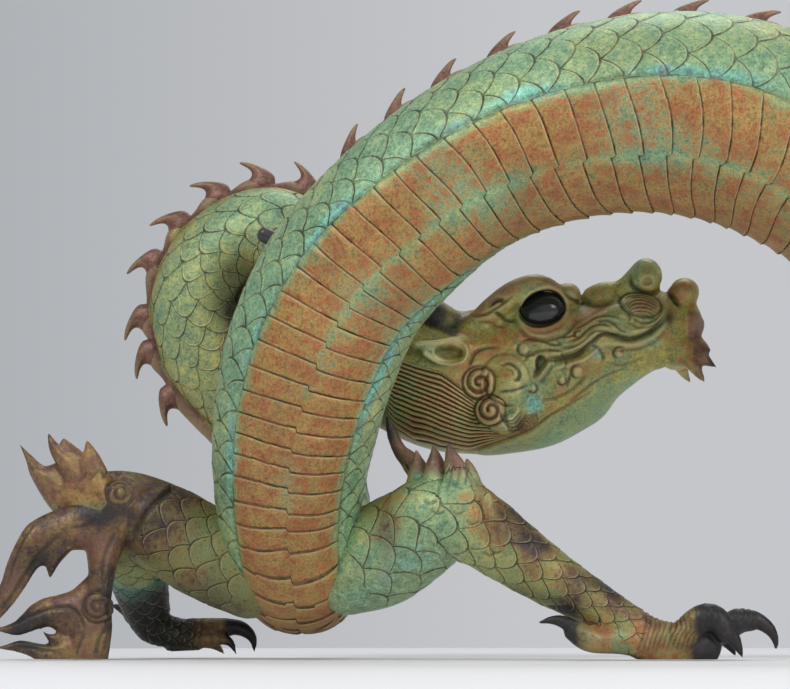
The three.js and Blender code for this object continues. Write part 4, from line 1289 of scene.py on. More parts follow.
    # mane: strands from the curls back to the neck, and under the jowl
    phase, depth = mane_phase(x, z)
    curls = np.minimum(np.hypot(x - 480, z - 278) - 17, np.hypot(x - 491.5, z - 250) - 16)
    tail_curl = head.near(line([(498.5, 236), (509.5, 235), (519.5, 246.5)]))[0] - 7
    edge = np.minimum(curls, tail_curl)
    hair = (side * ramp(depth, 0.0, 0.03) * (1 - ramp(depth, 1.0, 1.05)) * ramp(edge, 0, 2)
            * (1 - ramp(x, 520, 552)) * ramp(z, 205, 212))
    hair *= 1 - ramp(x, 466, 474) * ramp(z, 262, 268) * (1 - ramp(x, 500, 510))
    wave = np.abs(np.sin(math.pi * phase)) ** 0.6
    head.rise += (3.2 * wave - 2.2) * hair
    live = hair > 0.3
    head.carving[live, 2] = phase[live] + 1000.0
    head.mark(0, 0.9 * hair * (1 - ramp(wave, 0.35, 0.75)))
    head.cut([(371.5, 263.5), (380.5, 252.5), (394, 235), (414.5, 221), (441, 212.5), (471.5, 211.5),
        (502, 220), (532.5, 231), (553, 245.5), (575.5, 258.5), (594, 270)], 1.5, 1.6, side, 0.7)
    head.raise_line([(414.5, 218), (441, 209.5), (471.5, 208), (502, 216.5), (532.5, 227.5),
        (555, 241.5)], 1.6, 1.2, side, worn_and_lit=0.8)
    head.cut([(574, 260), (586, 270), (600.5, 280.5), (615.5, 288.5), (632, 295.5)], 1.4, 1.6, side, 0.6)

    head.dome(507, 279, 26, 28, 6.0, side)
    head.press()
    head.relax(1, strength=0.25)
    # waxing and painted shade in hollows, rubbing and painted highlights where the form stands out
    head.weather_shade_and_highlight(4, 0.6, 0.6)
    head.weather_shade_and_highlight(16, 0.55, 0.75)

    # patina
    at = head.at
    x, y, z = at.T
    mottle = drift(at, 42, 41)
    fine = drift(at, 16, 43)
    head.patina[:, 3] = np.clip(0.95 + 0.35 * mottle + 0.15 * fine, 0.3, 1.4)
    head.tint(0, np.clip(0.3 + 0.35 * mottle + 0.3 * drift(at, 9, 45), 0, 0.65))
    brow = head.near(line([(477.5, 357.5), (502.5, 374), (525, 383.5), (548.5, 385.5), (559.5, 376)]))[0]
    head.tint(0, bell(brow, 11) * side * 0.95)
    head.mark(3, 0.55 * bell(brow, 8) * side)
    for band, wide, amount in (
        ([(497.5, 317.5), (510, 325.5), (532, 328), (569, 340), (593.5, 352.5), (609.5, 359.5)], 9, 0.95),
        ([(563, 332.5), (588.5, 342.5), (616, 351), (644.5, 358)], 7, 0.6),
        ([(501.5, 309.5), (503.5, 296), (509.5, 283)], 9, 0.5),
        ([(467.5, 317), (481.5, 322), (493.5, 320)], 7, 0.6),
        ([(608.5, 310), (626, 312), (644.5, 316)], 8, 0.5),
        ([(530, 275), (547.5, 289.5)], 8, 0.35),
    ):
        away = head.near(line(band))[0]
        head.tint(0, bell(away + 2.5 * fine, wide) * side * amount)
    pad = np.hypot((x - 648) / 22, (z - 360) / 13)
    head.tint(0, 0.75 * ramp(1.1 - pad, 0, 0.4) * side)
    head.tint(0, 0.5 * bell(np.hypot(x - 655, z - 396), 9) * side)
    throat = ramp(np.interp(x, [400, 441, 471, 502, 532, 551, 575, 605, 640, 700],
                            [226, 212, 211, 219, 231, 244, 258, 277, 290, 296]) - z, -1, 5)
    throat = throat * ramp(x, 400, 430)
    green = 1 - throat
    head.patina[:, 0] *= green
    head.patina[:, 3] = head.patina[:, 3] * green + (0.45 + 0.3 * mottle) * throat
    head.tint(1, 0.3 * throat * ramp(mottle, -0.5, 0.8))
    head.tint(2, 0.36 * throat)
    for spot_x, spot_z, size, amount in ((537, 257, 13, 0.9), (601, 310, 9, 0.8), (660, 322, 12, 0.5),
                                         (560, 232, 14, 0.4), (480, 330, 12, 0.3), (584, 350, 9, 0.4)):
        head.tint(1, amount * bell(np.hypot(x - spot_x, z - spot_z), size) * side)
    hair = hair * (1 - throat)
    head.tint(0, np.clip(0.62 + 0.3 * mottle, 0, 1) * hair)
    coil = np.minimum(np.hypot(x - 480, z - 278), np.hypot(x - 491.5, z - 250))
    head.tint(0, (1 - ramp(coil, 14, 18)) * side * 0.8)
    head.tint(1, 0.35 * hair * ramp(z - 0.3 * x, 150, 170) * ramp(mottle, -0.3, 0.8))
    front = ramp(x, 690, 702) * (1 - ramp(z, 352, 360)) * ramp(z, 318, 326)
    head.mark(3, 0.75 * front)
    head.tint(0, 0.9 * front)
    barbs = ramp(x, 696, 706) * (1 - ramp(z, 322, 328))
    head.mark(3, 0.8 * barbs)
    head.tint(2, 0.7 * ramp(x, 706, 722) * (1 - ramp(z, 316, 324)))
    root = (1 - ramp(x, 462, 480)) * ramp(z + 0.5 * x, 545, 556) * ramp(np.abs(y - HEAD_MIDDLE), 8, 16)
    head.tint(2, np.clip(0.5 + 0.3 * fine + 0.4 * (1 - ramp(x, 432, 452)), 0, 0.9) * root)
    gap = bell(np.hypot((x - 676) / 5.5, (z - 346) / 9), 1.0)
    head.mark(0, gap * side)


# x, y, z and radius of each horn, from its root to its tip
HORNS = (
    [(436, 72, 350, 12.5), (405, 69, 366, 12), (333, 66, 399, 10), (272, 65, 427, 8.5),
     (260, 65, 433, 8)],
    [(436, 141, 350, 12.5), (405, 165, 368, 12), (345, 205, 396, 10), (285, 230, 428, 8.5),
     (274, 234, 434, 8)],
)


class DRAGON_OT_head(bpy.types.Operator):
    """Build the head, its eyes and its horns"""

    bl_idname = "dragon.head"
    bl_label = "Head"

    def execute(self, context):
        _, hair, horn, eye = finishes()
        head = Carving("head", head_patches())
        carve_head(head)
        head.finish(hair)
        near = ball(*EYE, 23.5, 14, 18.6, tilt=-14, spacing=2.0)
        mesh = skin("eyes", [near, mirrored(near, HEAD_MIDDLE)])
        put("eyes", mesh, eye)
        horns = [tube(path_of(rows), spacing=2.5) for rows in HORNS]
        put("horns", skin("horns", horns), horn)
        return {"FINISHED"}


# ---------------------------------------------------------------- forelegs

LEFT_LIMB = path_of([
    (345, 12, 88, 46), (378, -2, 101, 51), (412, -18, 121, 48), (444, -36, 140, 43),
    (476, -44, 127, 37), (512, -48, 102, 32), (551, -50, 76, 27), (590, -50, 53, 22),
    (619, -48, 35, (20, 20, 24)), (648, -47, 22, (18, 18, 27)),
    (680, -48, 18, (16, 16, 24)), (703, -46, 14, (13, 13, 20)),
])


def left_patches():
    """List the lumps of the left foreleg: limb, elbow thorns, fingers and claws."""
    thorns = [
        blade([(414, 170.5), (402, 189), (395, 199), (389, 213), (386, 225), (386, 242)],
              [(433.5, 186), (412.5, 205), (407, 208), (402, 215), (398, 223), (391, 236), (386, 242)],
              (14, 8, 1), (-20, -16, -14)),
        blade([(405, 171), (410.5, 193), (415.5, 206.5)], [(433.5, 171), (423.5, 194.5), (415.5, 206.5)],
              (10, 6, 1), (-34, -38, -40)),
        blade([(418.5, 162.5), (425.5, 190), (432, 209.5)], [(448.5, 164.5), (442, 195), (432, 209.5)],
              (14, 8, 1), (-46, -52, -54)),
        blade([(433, 147.5), (441.5, 176.5), (443, 196), (446, 211)],
              [(483.5, 142.5), (477.5, 163), (470, 178), (462, 192.5), (453.5, 203), (446, 211)],
              (18, 9, 1), (-54, -64, -66)),
        blade([(455, 169), (461.5, 186.5), (465, 198.5)], [(486, 155), (475.5, 183.5), (465, 198.5)],
              (12, 7, 1), (-38, -42, -42)),
        blade([(481, 107.5), (476.5, 128), (475, 144), (478.5, 156), (485, 163.5)],
              [(510, 115), (503.5, 132.5), (495, 143), (490, 155), (485, 163.5)],
              (16, 10, 1), (-60, -74, -80)),
    ]
    fingers = [
        tube(path_of([(672, -56, 22, 15), (694, -60, 40, 14), (708, -61, 37, 13), (716, -62, 24, 10)])),
        tube(path_of([(684, -38, 17, 13), (713, -32, 26, 12), (731, -30, 37, 13), (744, -30, 37, 10)])),
        tube(path_of([(678, -22, 18, 14), (706, -4, 27, 12), (718, 2, 22, 9)])),
        tube(path_of([(640, -52, 18, 16), (612, -58, 20, 15), (583, -72, 20, 13), (566, -77, 28, 10)])),
    ]
    claws = [
        tube(path_of([(712, -62, 34, 9.5), (722, -62, 22, 7), (728, -62, 10, 4), (731, -62, 2, 1.2)])),
        tube(path_of([(738, -30, 40, 10), (749, -30, 38, 8.5), (761, -30, 30, 6.5), (767, -30, 20, 4),
                      (768, -30, 11, 2.0)])),
        tube(path_of([(714, 2, 26, 8), (726, 7, 15, 6), (733, 9, 3, 1.2)])),
        tube(path_of([(572, -76, 27, 9), (560, -78, 35, 7), (547, -78, 38, 4.5), (533, -78, 35, 1.2)])),
    ]
    return [tube(LEFT_LIMB)] + thorns + fingers + claws


def carve_left(limb):
    """Lay the scales of the left foreleg and colour it."""
    limb.start_paint()
    corners = scaled_limb(limb, LEFT_LIMB, 7, 19.0, 30, 350, 1.2)
    x, y, z = limb.at.T
    thorny = ramp(z - np.interp(x, [380, 411, 440, 480, 500, 520], [166, 172, 178, 165, 140, 100]), 0, 14)
    thorny *= (x > 375) & (x < 515)
    for foot_x, foot_z in ((436, 150), (455, 150), (428, 160), (470, 140), (486, 110), (492, 112)):
        limb.cut([(foot_x - 6, foot_z - 6), (foot_x, foot_z - 10), (foot_x + 8, foot_z - 7)],
                 1.4, 1.4, y < -30, 0.7)
    for k in range(4):
        limb.cut(fan([(436.1, 158.0), (440.0, 172.6), (444.0, 186.4)],
                     [(8.8, 2.9), (8.8, 3.9), (6.9, 2.0)], k),
                 1.1, 1.0, y < -45, 0.6)
    # rings of the wrist and knuckles
    for k in range(12):
        cx = 636 + 4.6 * k
        limb.cut([(cx, 60 - 2.0 * k), (cx + 3, 40 - 1.2 * k), (cx - 2, 22), (cx - 6, 8)], 1.2, 1.2,
                 1.0 * (x < 694), 0.7)
    for cx, cz in ((700, 46), (706, 45), (735, 46), (741, 47), (747, 44)):
        limb.cut([(cx - 3, cz + 5), (cx, cz - 4), (cx - 4, cz - 12)], 1.1, 1.4, 1.0, 0.8)
    limb.press()
    limb.at[:, 2] = np.maximum(limb.at[:, 2], 0.0)
    # waxing and painted shade in hollows, rubbing and painted highlights where the form stands out
    limb.weather_shade_and_highlight(4, 0.35, 0.3)
    limb.weather_shade_and_highlight(14, 0.5, 0.2)
    mottle, fine = drift(limb.at, 50, 51), drift(limb.at, 18, 53)
    shoulder = 1 - ramp(x, 440, 500)
    limb.patina[:, 3] = np.clip(0.9 + 0.3 * mottle - 0.5 * shoulder, 0, 1.3)
    limb.tint(0, np.clip(0.55 + 0.35 * mottle + 0.2 * fine, 0, 1) * (1 - shoulder))
    limb.tint(1, np.clip(shoulder * (0.3 + 0.45 * mottle), 0, 0.8) * (1 - ramp(z, 120, 150)))
    limb.tint(0, 0.5 * shoulder * ramp(z, 128, 150) * ramp(mottle, -1, 0.5))
    under = ramp(-limb.normal[:, 2], 0.2, 0.7) * (1 - ramp(x, 640, 660))
    limb.patina[:, 0] *= 1 - 0.8 * under
    limb.tint(1, 0.35 * under)
    elbow = bell(np.hypot((x - 480) / 34, (z - 150) / 34), 1.0)
    limb.tint(0, elbow * (0.6 + 0.2 * fine))
    limb.tint(2, np.clip(0.55 + 0.2 * mottle + 0.15 * fine, 0, 0.75) * ramp(x, 430, 520))
    rise = ramp(z + 4 * fine, 158, 200) * (x < 515) * (x > 375) * (y < 0)
    thorny = np.maximum(thorny * 0.35, rise * (z > 150))
    limb.tint(0, 0.6 * thorny)
    limb.mark(3, 0.8 * rise * (z > 150))
    limb.tint(0, 0.7 * ramp(x, 590, 640) * (1 - ramp(x, 676, 694)))
    limb.tint(2, np.clip(ramp(x, 664, 700) + 0.2 * fine * ramp(x, 660, 670), 0, 0.95))
    limb.tint(2, (1 - ramp(x, 560, 590)) * (z < 52) * (y < -58) * (x > 525) * 0.95)
    limb.tint(0, 0.7 * ramp(x, 560, 585) * (1 - ramp(x, 600, 620)) * (z < 44))
    limb.tint(2, np.clip(0.42 + 0.2 * fine, 0, 0.6) * rise * (z > 150))
    limb.tint(2, 0.7 * ramp(z, 195, 225) * (x < 402))
    # painted shade: the corner where the shoulder meets the arch is painted dark brown-black
    painted_crease_shade = bell(np.hypot((x - 386) / 22, (z - 128) / 40), 1.0) * (y < 0)
    limb.tint(2, 0.6 * painted_crease_shade)
    limb.tint(0, 0.5 * painted_crease_shade)
    return corners


RIGHT_UPPER = path_of([
    (255, 20, 84, 46), (208, 22, 104, 46), (172, 22, 125, 45), (135, 18, 144, 41), (102, 10, 154, 35),
    (78, 6, 166, 25),
])
RIGHT_FORE = path_of([
    (122, 26, 132, 38), (128, 56, 108, 34), (134, 84, 78, 29), (140, 104, 50, 24), (148, 113, 32, 19),
    (174, 116, 25, 15), (199, 118, 24, 13),
])


def right_patches():
    """List the lumps of the right foreleg: upper arm, forearm, elbow fins, fingers and claws."""
    fins = [
        blade([(63.5, 137.5), (49.5, 150.5), (32, 179.5), (27, 195.5), (19.5, 214)],
              [(85, 183.5), (62.5, 195.5), (46, 191.5), (33.5, 201), (19.5, 214)], (22, 12, 1.5),
                  (8, 6, 4)),
        blade([(72, 167), (60, 188.5), (51, 206.5), (48.5, 226.5)],
              [(106, 171), (89.5, 194.5), (69.5, 206.5), (58.5, 214.5), (48.5, 226.5)], (20, 11, 1.5),
                  (-4, -6, -6)),
        blade([(79.5, 164.5), (81, 188), (86.5, 206), (89.5, 217)], [(121, 164.5), (108.5, 190),
            (100.5, 204), (89.5, 217)],
              (16, 9, 1.5), (-10, -16, -18)),
        blade([(70, 158.5), (57.5, 187), (53, 207), (59, 223)], [(110, 172.5), (91.5, 197), (75.5, 211),
            (59, 223)],
              (18, 10, 1.5), (32, 38, 40)),
    ]
    fingers = [
        tube(path_of([(180, 117, 25, 15), (205, 118, 28, 13), (222, 118, 31, 10)])),
        tube(path_of([(185, 112, 20, 12), (210, 108, 20, 9)])),
        tube(path_of([(165, 124, 20, 14), (190, 138, 18, 11)])),
        tube(path_of([(138, 118, 34, 13), (122, 126, 44, 9)])),
    ]
    claws = [
        tube(path_of([(216, 118, 32, 9), (236, 118, 30, 8), (248, 118, 20, 5), (250, 118, 6, 1.2)])),
        tube(path_of([(205, 108, 21, 8), (224, 106, 17, 5), (232, 105, 4, 1.2)])),
        tube(path_of([(188, 138, 20, 9), (206, 144, 14, 6), (217, 147, 4, 1.2)])),
        tube(path_of([(126, 124, 42, 8), (112, 128, 50, 5), (101, 128, 54, 1.2)])),
    ]
    return [tube(RIGHT_UPPER), tube(RIGHT_FORE)] + fins + fingers + claws


def carve_right(limb):
    """Lay the scales of the right foreleg, wind its spiral boss and colour it."""
    limb.start_paint()
    x, y, z = limb.at.T
    upper = RIGHT_UPPER.nearest(limb.at)
    fore = RIGHT_FORE.nearest(limb.at)
    on_fore = fore[2] / fore[3] < upper[2] / upper[3]
    corners = scaled_limb(limb, RIGHT_UPPER, 8, 16.5, 8, 122, 1.1)
    limb.rise[on_fore] = 0
    rise = limb.rise.copy()
    limb.rise[:] = 0
    corners_fore = scaled_limb(limb, RIGHT_FORE, 8, 11.5, 10, 190, 1.0, turn=0.4)
    limb.rise = np.where(on_fore, limb.rise, rise)
    owner = np.empty(len(limb.mesh.loops), np.int32)
    limb.mesh.loops.foreach_get("vertex_index", owner)
    corners = np.where(on_fore[owner][:, None], corners_fore, corners)
    boss = (123.5, 163)
    front = 1.0 * (y < 4)
    quiet = ramp(np.hypot(x - boss[0], z - boss[1]), 13, 17)
    limb.rise *= np.where(y < 4, quiet, 1)
    corners[:, 2] *= np.where((y < 4)[owner], quiet[owner] > 0.5, True)
    limb.dome(*boss, 13, 13, 4.0, front, edge=2.5)
    limb.cut(spiral(*boss, 11, 3.0, 200, -1.4), 1.3, 2.4, front, 1.0)
    limb.dome(*boss, 4.2, 4.2, 2.6, front)
    for k in range(4):
        limb.cut(fan([(82.7, 172.6), (90.4, 182.4), (98.3, 178.5)],
                     [(11.7, 2.0), (11.7, 2.0), (11.7, 1.0)], k),
                 1.2, 1.3, front, 0.7)
    sleeve = [(179, 171.5), (166.5, 162), (153.5, 148), (142, 130.5), (134.5, 116.5)]
    limb.cut(sleeve, 2.4, 3.0, front, 0.8)
    limb.raise_line([(a - 4, b + 3) for a, b in sleeve], 4.0, 1.6, front, worn_and_lit=0.2)
    for k in range(9):
        cx = 150 + 5.6 * k
        limb.cut([(cx, 46 - 1.2 * k), (cx + 2, 30), (cx - 3, 10)], 1.2, 1.1, 1.0 * (y > 80), 0.7)
    limb.press()
    limb.at[:, 2] = np.maximum(limb.at[:, 2], 0.0)
    # waxing and painted shade in hollows, rubbing and painted highlights where the form stands out
    limb.weather_shade_and_highlight(4, 0.35, 0.3)
    limb.weather_shade_and_highlight(14, 0.5, 0.25)
    mottle, fine = drift(limb.at, 55, 61), drift(limb.at, 18, 63)
    limb.patina[:, 3] = np.clip(0.85 + 0.3 * mottle, 0, 1.3)
    arm = ramp(y + 0.2 * (100 - z), 48, 62) * (1 - ramp(x, 185, 205))
    limb.tint(0, np.clip(0.3 + 0.4 * mottle + 0.25 * fine - 0.2 * ramp(x, 180, 230), 0, 1) * (1 - arm))
    limb.tint(1, 0.75 * arm + 0.3 * ramp(x, 200, 250) * ramp(mottle, -0.6, 0.6))
    limb.patina[:, 3] *= 1 - 0.8 * arm
    limb.tint(2, np.clip(0.62 + 0.15 * mottle, 0, 0.8) * np.maximum(1.25 * arm, 0.85))
    crown = (1 - ramp(x + 4 * fine, 118, 150)) * ramp(z, 140, 160) * (1 - ramp(z, 250, 260))
    limb.tint(0, 0.9 * crown)
    limb.mark(3, np.clip(0.5 + 0.25 * fine, 0, 0.8) * crown)
    hand = ramp(y, 90, 100) * (1 - ramp(z, 50, 62)) * ramp(x, 150, 175)
    limb.tint(0, 0.75 * hand)
    limb.mark(3, 0.5 * hand)
    limb.tint(2, 0.95 * ramp(x, 206, 228) * ramp(y, 96, 104) * (1 - ramp(z, 50, 60)))
    limb.tint(2, 0.9 * (1 - ramp(x, 112, 126)) * (z < 62) * (y > 90))
    limb.tint(2, 0.6 * (1 - ramp(np.hypot(x - 21, z - 214), 6, 26)))
    return corners


class DRAGON_OT_forelegs(bpy.types.Operator):
    """Build both forelegs"""

    bl_idname = "dragon.forelegs"
    bl_label = "Forelegs"

    def execute(self, context):
        scales = finishes()[0]
        left = Carving("left_foreleg", left_patches(), relax=2)
        corners = carve_left(left)
        left.finish(scales, scales=corners)
        right = Carving("right_foreleg", right_patches(), relax=2)
        corners = carve_right(right)
        right.finish(scales, scales=corners)
        return {"FINISHED"}


# ---------------------------------------------------------------- hind legs

HIND_LIMB = path_of([
    (1085, -35, 140, 58), (1052, -92, 158, 52), (1012, -140, 156, 40), (1004, -168, 122, 32),
    (1028, -184, 82, 26), (1052, -190, 48, 22), (1044, -194, 24, (21, 21, 31)),
    (1012, -198, 18, (19, 19, 27)), (990, -200, 14, (13, 13, 20)),
])


def hind_patches():
    """List the lumps of a hind leg."""
    parts = [tube(HIND_LIMB)]
    for spread in (-26, 0, 26):
        parts.append(tube(path_of([
            (1012, -198 + spread * 0.3, 19, 14), (988, -202 + spread * 0.8, 30, 13),
            (974, -204 + spread, 25, 10)])))
        parts.append(tube(path_of([
            (978, -204 + spread, 28, 9.5), (964, -205 + spread * 1.08, 22, 6.5),
            (953, -205 + spread * 1.15, 10, 3.5), (950, -205 + spread * 1.15, 2, 1.2)])))
    for rows in (
        [(1050, -192, 22, 14), (1074, -194, 26, 9), (1090, -195, 14, 1.5)],
        [(1010, -150, 180, 16), (1002, -158, 205, 9), (1004, -160, 228, 1.5)],
        [(1034, -138, 190, 16), (1030, -146, 214, 9), (1036, -150, 236, 1.5)],
        [(996, -162, 156, 14), (980, -172, 172, 8), (974, -174, 192, 1.5)],
    ):
        parts.append(tube(path_of(rows)))
    return parts


class DRAGON_OT_hind_legs(bpy.types.Operator):
    """Build both hind legs"""

    bl_idname = "dragon.hind_legs"
    bl_label = "Hind legs"

    def execute(self, context):
        scales = finishes()[0]
        for name, flip in (("near_hind_leg", False), ("far_hind_leg", True)):
            limb = Carving(name, hind_patches(), relax=2)
            limb.start_paint()
            corners = scaled_limb(limb, HIND_LIMB, 11, 14.5, 14, 300, 1.1)
            limb.press()
            limb.at[:, 2] = np.maximum(limb.at[:, 2], 0.0)
            x, y, z = limb.at.T
            mottle, fine = drift(limb.at, 55, 71), drift(limb.at, 18, 73)
            limb.patina[:, 3] = np.clip(0.5 + 0.35 * mottle, 0, 1)
            limb.tint(0, np.clip(0.3 + 0.4 * mottle + 0.2 * fine, 0, 1) * (1 - 0.6 * ramp(z, 120, 170)))
            limb.tint(1, 0.4 * ramp(mottle, 0, 1) * ramp(z, 60, 120))
            claw = (1 - ramp(x, 964, 982)) * (z < 46)
            limb.tint(2, claw + 0.9 * ramp(x, 1072, 1086) * (z < 40))
            spiky = ramp(z, 186, 206) * (1 - ramp(x, 1036, 1046)) * (y < -120)
            limb.mark(3, 0.8 * spiky)
            if flip:
                limb.at[:, 1] = 2 * HIPS_MIDDLE - limb.at[:, 1]
            piece = limb.finish(scales, scales=corners)
            if flip:
                turn = bmesh.new()
                turn.from_mesh(piece.data)
                bmesh.ops.recalc_face_normals(turn, faces=turn.faces)
                turn.to_mesh(piece.data)
                turn.free()
        return {"FINISHED"}


# ---------------------------------------------------------------- flame and tail tuft


def flame_patches():
    """List the tongues of the flame under the right elbow, and the stem that they grow from."""
    return [
        blade([(87, 170.5), (85.5, 136.5), (89, 107), (92, 83.5), (88.5, 67.5), (82.5, 48), (75, 24.5),
            (67.5, 2), (65.5, -8.5)],
              [(158.5, 170.5), (142, 133.5), (130, 116), (122.5, 97), (118.5, 79.5), (115.5, 58),
                  (116.5, 29.5), (113.5, 2), (112.5, -8.5)],
              (24, 16, 17), (0, -14, -15), power=0.85),
        blade([(130.5, 168.5), (95, 162.5), (69.5, 151.5), (52, 144.5), (42, 139.5), (30, 131),
            (21.5, 117), (15, 103.5), (9.5, 88), (5.5, 74.5), (-6, 52), (-19.5, 18.5)],
              [(115.5, 91.5), (94, 105), (73, 106), (62.5, 97), (49.5, 91.5), (43.5, 89.5), (38, 82.5),
                  (31.5, 71.5), (24.5, 61), (17, 51), (6, 39), (-6, 28.5), (-19.5, 18.5)],
              (20, 10, 1.5), (-6, -14, -14)),
        blade([(58, 105), (50.5, 92.5), (51.5, 85.5), (54, 77.5)], [(78, 109), (64.5, 94.5),
            (58.5, 84.5), (54, 77.5)],
              (9, 7, 1.2), (-14, -14, -14)),
        blade([(115.5, 97), (94, 83.5), (84, 74.5), (75.5, 67.5), (61.5, 63), (49, 60), (36, 53),
            (26.5, 42.5), (17, 36.5), (6, 31.5), (-8, 31.5), (-21, 38.5)],
              [(108.5, 9), (81, 18.5), (66, 24.5), (55.5, 30.5), (45.5, 29.5), (34.5, 25.5), (23, 22.5),
                  (12, 24.5), (6, 26.5), (-8, 27.5), (-21, 38.5)],
              (15, 10, 1.5), (-15, -16, -14)),
        blade([(89, 22.5), (71, 25.5), (63, 18.5), (54.5, 15), (43.5, 15.5), (34.5, 17.5), (24, 18.5),
            (6, 12.5), (-5.5, 15), (-17.5, 18.5)],
              [(93, -8.5), (65.5, -8.5), (47.5, -5), (36, 2), (21, 7), (10, 9), (-5.5, 12), (-17.5, 18.5)],
              (14, 8, 1.2), (-15, -14, -14)),
        blade([(81, 28.5), (65, 26.5), (55.5, 24.5), (46.5, 28.5)], [(79, 13), (65, 13), (54.5, 16.5),
            (46.5, 28.5)],
              (8, 5, 1.2), (-15, -14, -14)),
    ]


def carve_flame(flame):
    """Wind the flame's spiral, groove its tongues and colour it."""
    flame.start_paint()
    y = flame.at[:, 1]
    boss = (103.5, 50.5)
    flame.dome(*boss, 14.5, 14.5, 4.5, y < -14, edge=2.4)
    flame.cut(spiral(*boss, 12, 2.5, 150, 1.5), 1.4, 2.6, 1.0 * (y < -14), 1.0)
    flame.dome(*boss, 4.0, 4.0, 2.6, y < -14)
    for knots, width, depth in (
        ([(9, 30.5), (20.5, 36.5), (35.5, 41.5), (55, 48.5), (74.5, 50.5), (84.5, 43.5),
            (89.5, 31.5)], 2.2, 2.6),
        ([(74.5, 128.5), (55, 113.5), (39.5, 94), (30, 80.5), (21.5, 66.5), (7, 46)], 2.4, 2.4),
        ([(100, 136.5), (88.5, 130.5), (74.5, 128.5)], 2.0, 1.6),
        ([(122, 126.5), (112.5, 109), (107.5, 91), (107, 73.5)], 2.2, 1.8),
        ([(113, 30.5), (105.5, 18.5), (101.5, 3)], 2.0, 1.8),
        ([(91.5, 26.5), (86, 15), (82, 2)], 2.0, 1.6),
        ([(66, 7), (52.5, 8), (36.5, 11), (21, 12)], 1.6, 1.6),
        ([(44.5, 137.5), (33, 123.5), (25.5, 109), (18.5, 91), (14, 73.5)], 1.6, 1.2),
    ):
        flame.cut(knots, width, depth, dark=0.7)
        flame.raise_line([(a + 2.6, b + 2.6) for a, b in knots], width, 0.8, worn_and_lit=0.3)
    flame.press()
    flame.relax(1, strength=0.3)
    flame.at[:, 2] = np.maximum(flame.at[:, 2], 0.0)
    # waxing and painted shade in hollows, rubbing and painted highlights where the form stands out
    flame.weather_shade_and_highlight(4, 0.4, 0.15)
    flame.weather_shade_and_highlight(16, 0.5, 0.15)
    fine, mottle = drift(flame.at, 20, 81), drift(flame.at, 40, 83)
    flame.tint(0, np.clip(1.0 + 0.15 * fine, 0, 1))
    flame.carving[:, 3] = np.clip(0.5 + 0.25 * mottle, 0, 0.8)
    flame.tint(2, np.clip(0.58 + 0.15 * fine - 0.15 * mottle, 0.3, 0.8))
    flame.patina[:, 3] = 0.8


# bend, length and half width of each tongue of the tail's tuft
TUFT_TONGUES = ((1, 110, 20), (0.45, 95, 17), (-0.35, 80, 14))


class DRAGON_OT_flames(bpy.types.Operator):
    """Build the flame under the elbow and the tuft of the tail"""

    bl_idname = "dragon.flames"
    bl_label = "Flames"

    def execute(self, context):
        hair = finishes()[1]
        flame = Carving("flame_tuft", flame_patches(), relax=3)
        carve_flame(flame)
        flame.finish(hair)

        root = TRUNK.place[-1]
        tongues = []
        for bend, length, width in TUFT_TONGUES:
            rows = (
                (10, -12, [width, 9, 9]),
                (-0.35 * length, bend * 0.25 * length, [width, 8, 8]),
                (-0.7 * length, bend * 0.7 * length, [width * 0.6, 6, 6]),
                (-0.75 * length, bend * length, 1.5),
            )
            tongues.append(tube(Path([
                station(root[0] + x, root[1], root[2] + z, radius, (0, 1, 0))
                for x, z, radius in rows])))
        tuft = Carving("tail_tuft", tongues, relax=3)
        tuft.start_paint()
        for bend, length, width in TUFT_TONGUES:
            for off in (-0.45, 0, 0.45):
                knots = [(root[0] + 4, root[2] - 8 + off * width),
                         (root[0] - 0.35 * length, root[2] + bend * 0.25 * length + off * width),
                         (root[0] - 0.68 * length, root[2] + bend * 0.68 * length + off * width * 0.6),
                         (root[0] - 0.74 * length, root[2] + bend * 0.92 * length)]
                tuft.cut(knots, 1.7, 1.6, 1.0, 0.7)
        tuft.press()
        tuft.tint(0, np.clip(0.9 + 0.15 * drift(tuft.at, 20, 91), 0, 1))
        tuft.carving[:, 3] = 0.3
        tuft.finish(hair)
        return {"FINISHED"}


# ---------------------------------------------------------------- the stage, in metres

FLOOR_RADIUS = 1.75
CAMERA_PLACE = (-0.292, -2.801, 0.030)
CAMERA_AIM = (-0.292, -0.001, 0.3125)
CAMERA_LENS = 128.2
LIGHT_SIZE = 1.6
LIGHT_AIM = (0.0, 0.0, 0.3)
# name, place, watts and colour of each light
LIGHTS = (
    ("soft_key", (-1.9, -2.3, 2.7), 54.0, (1.0, 0.98, 0.95)),
    ("soft_fill", (2.0, -2.2, 1.5), 34.0, (0.97, 0.99, 1.0)),
    ("soft_top", (0.2, 1.4, 2.8), 18.0, (1.0, 1.0, 1.0)),
)


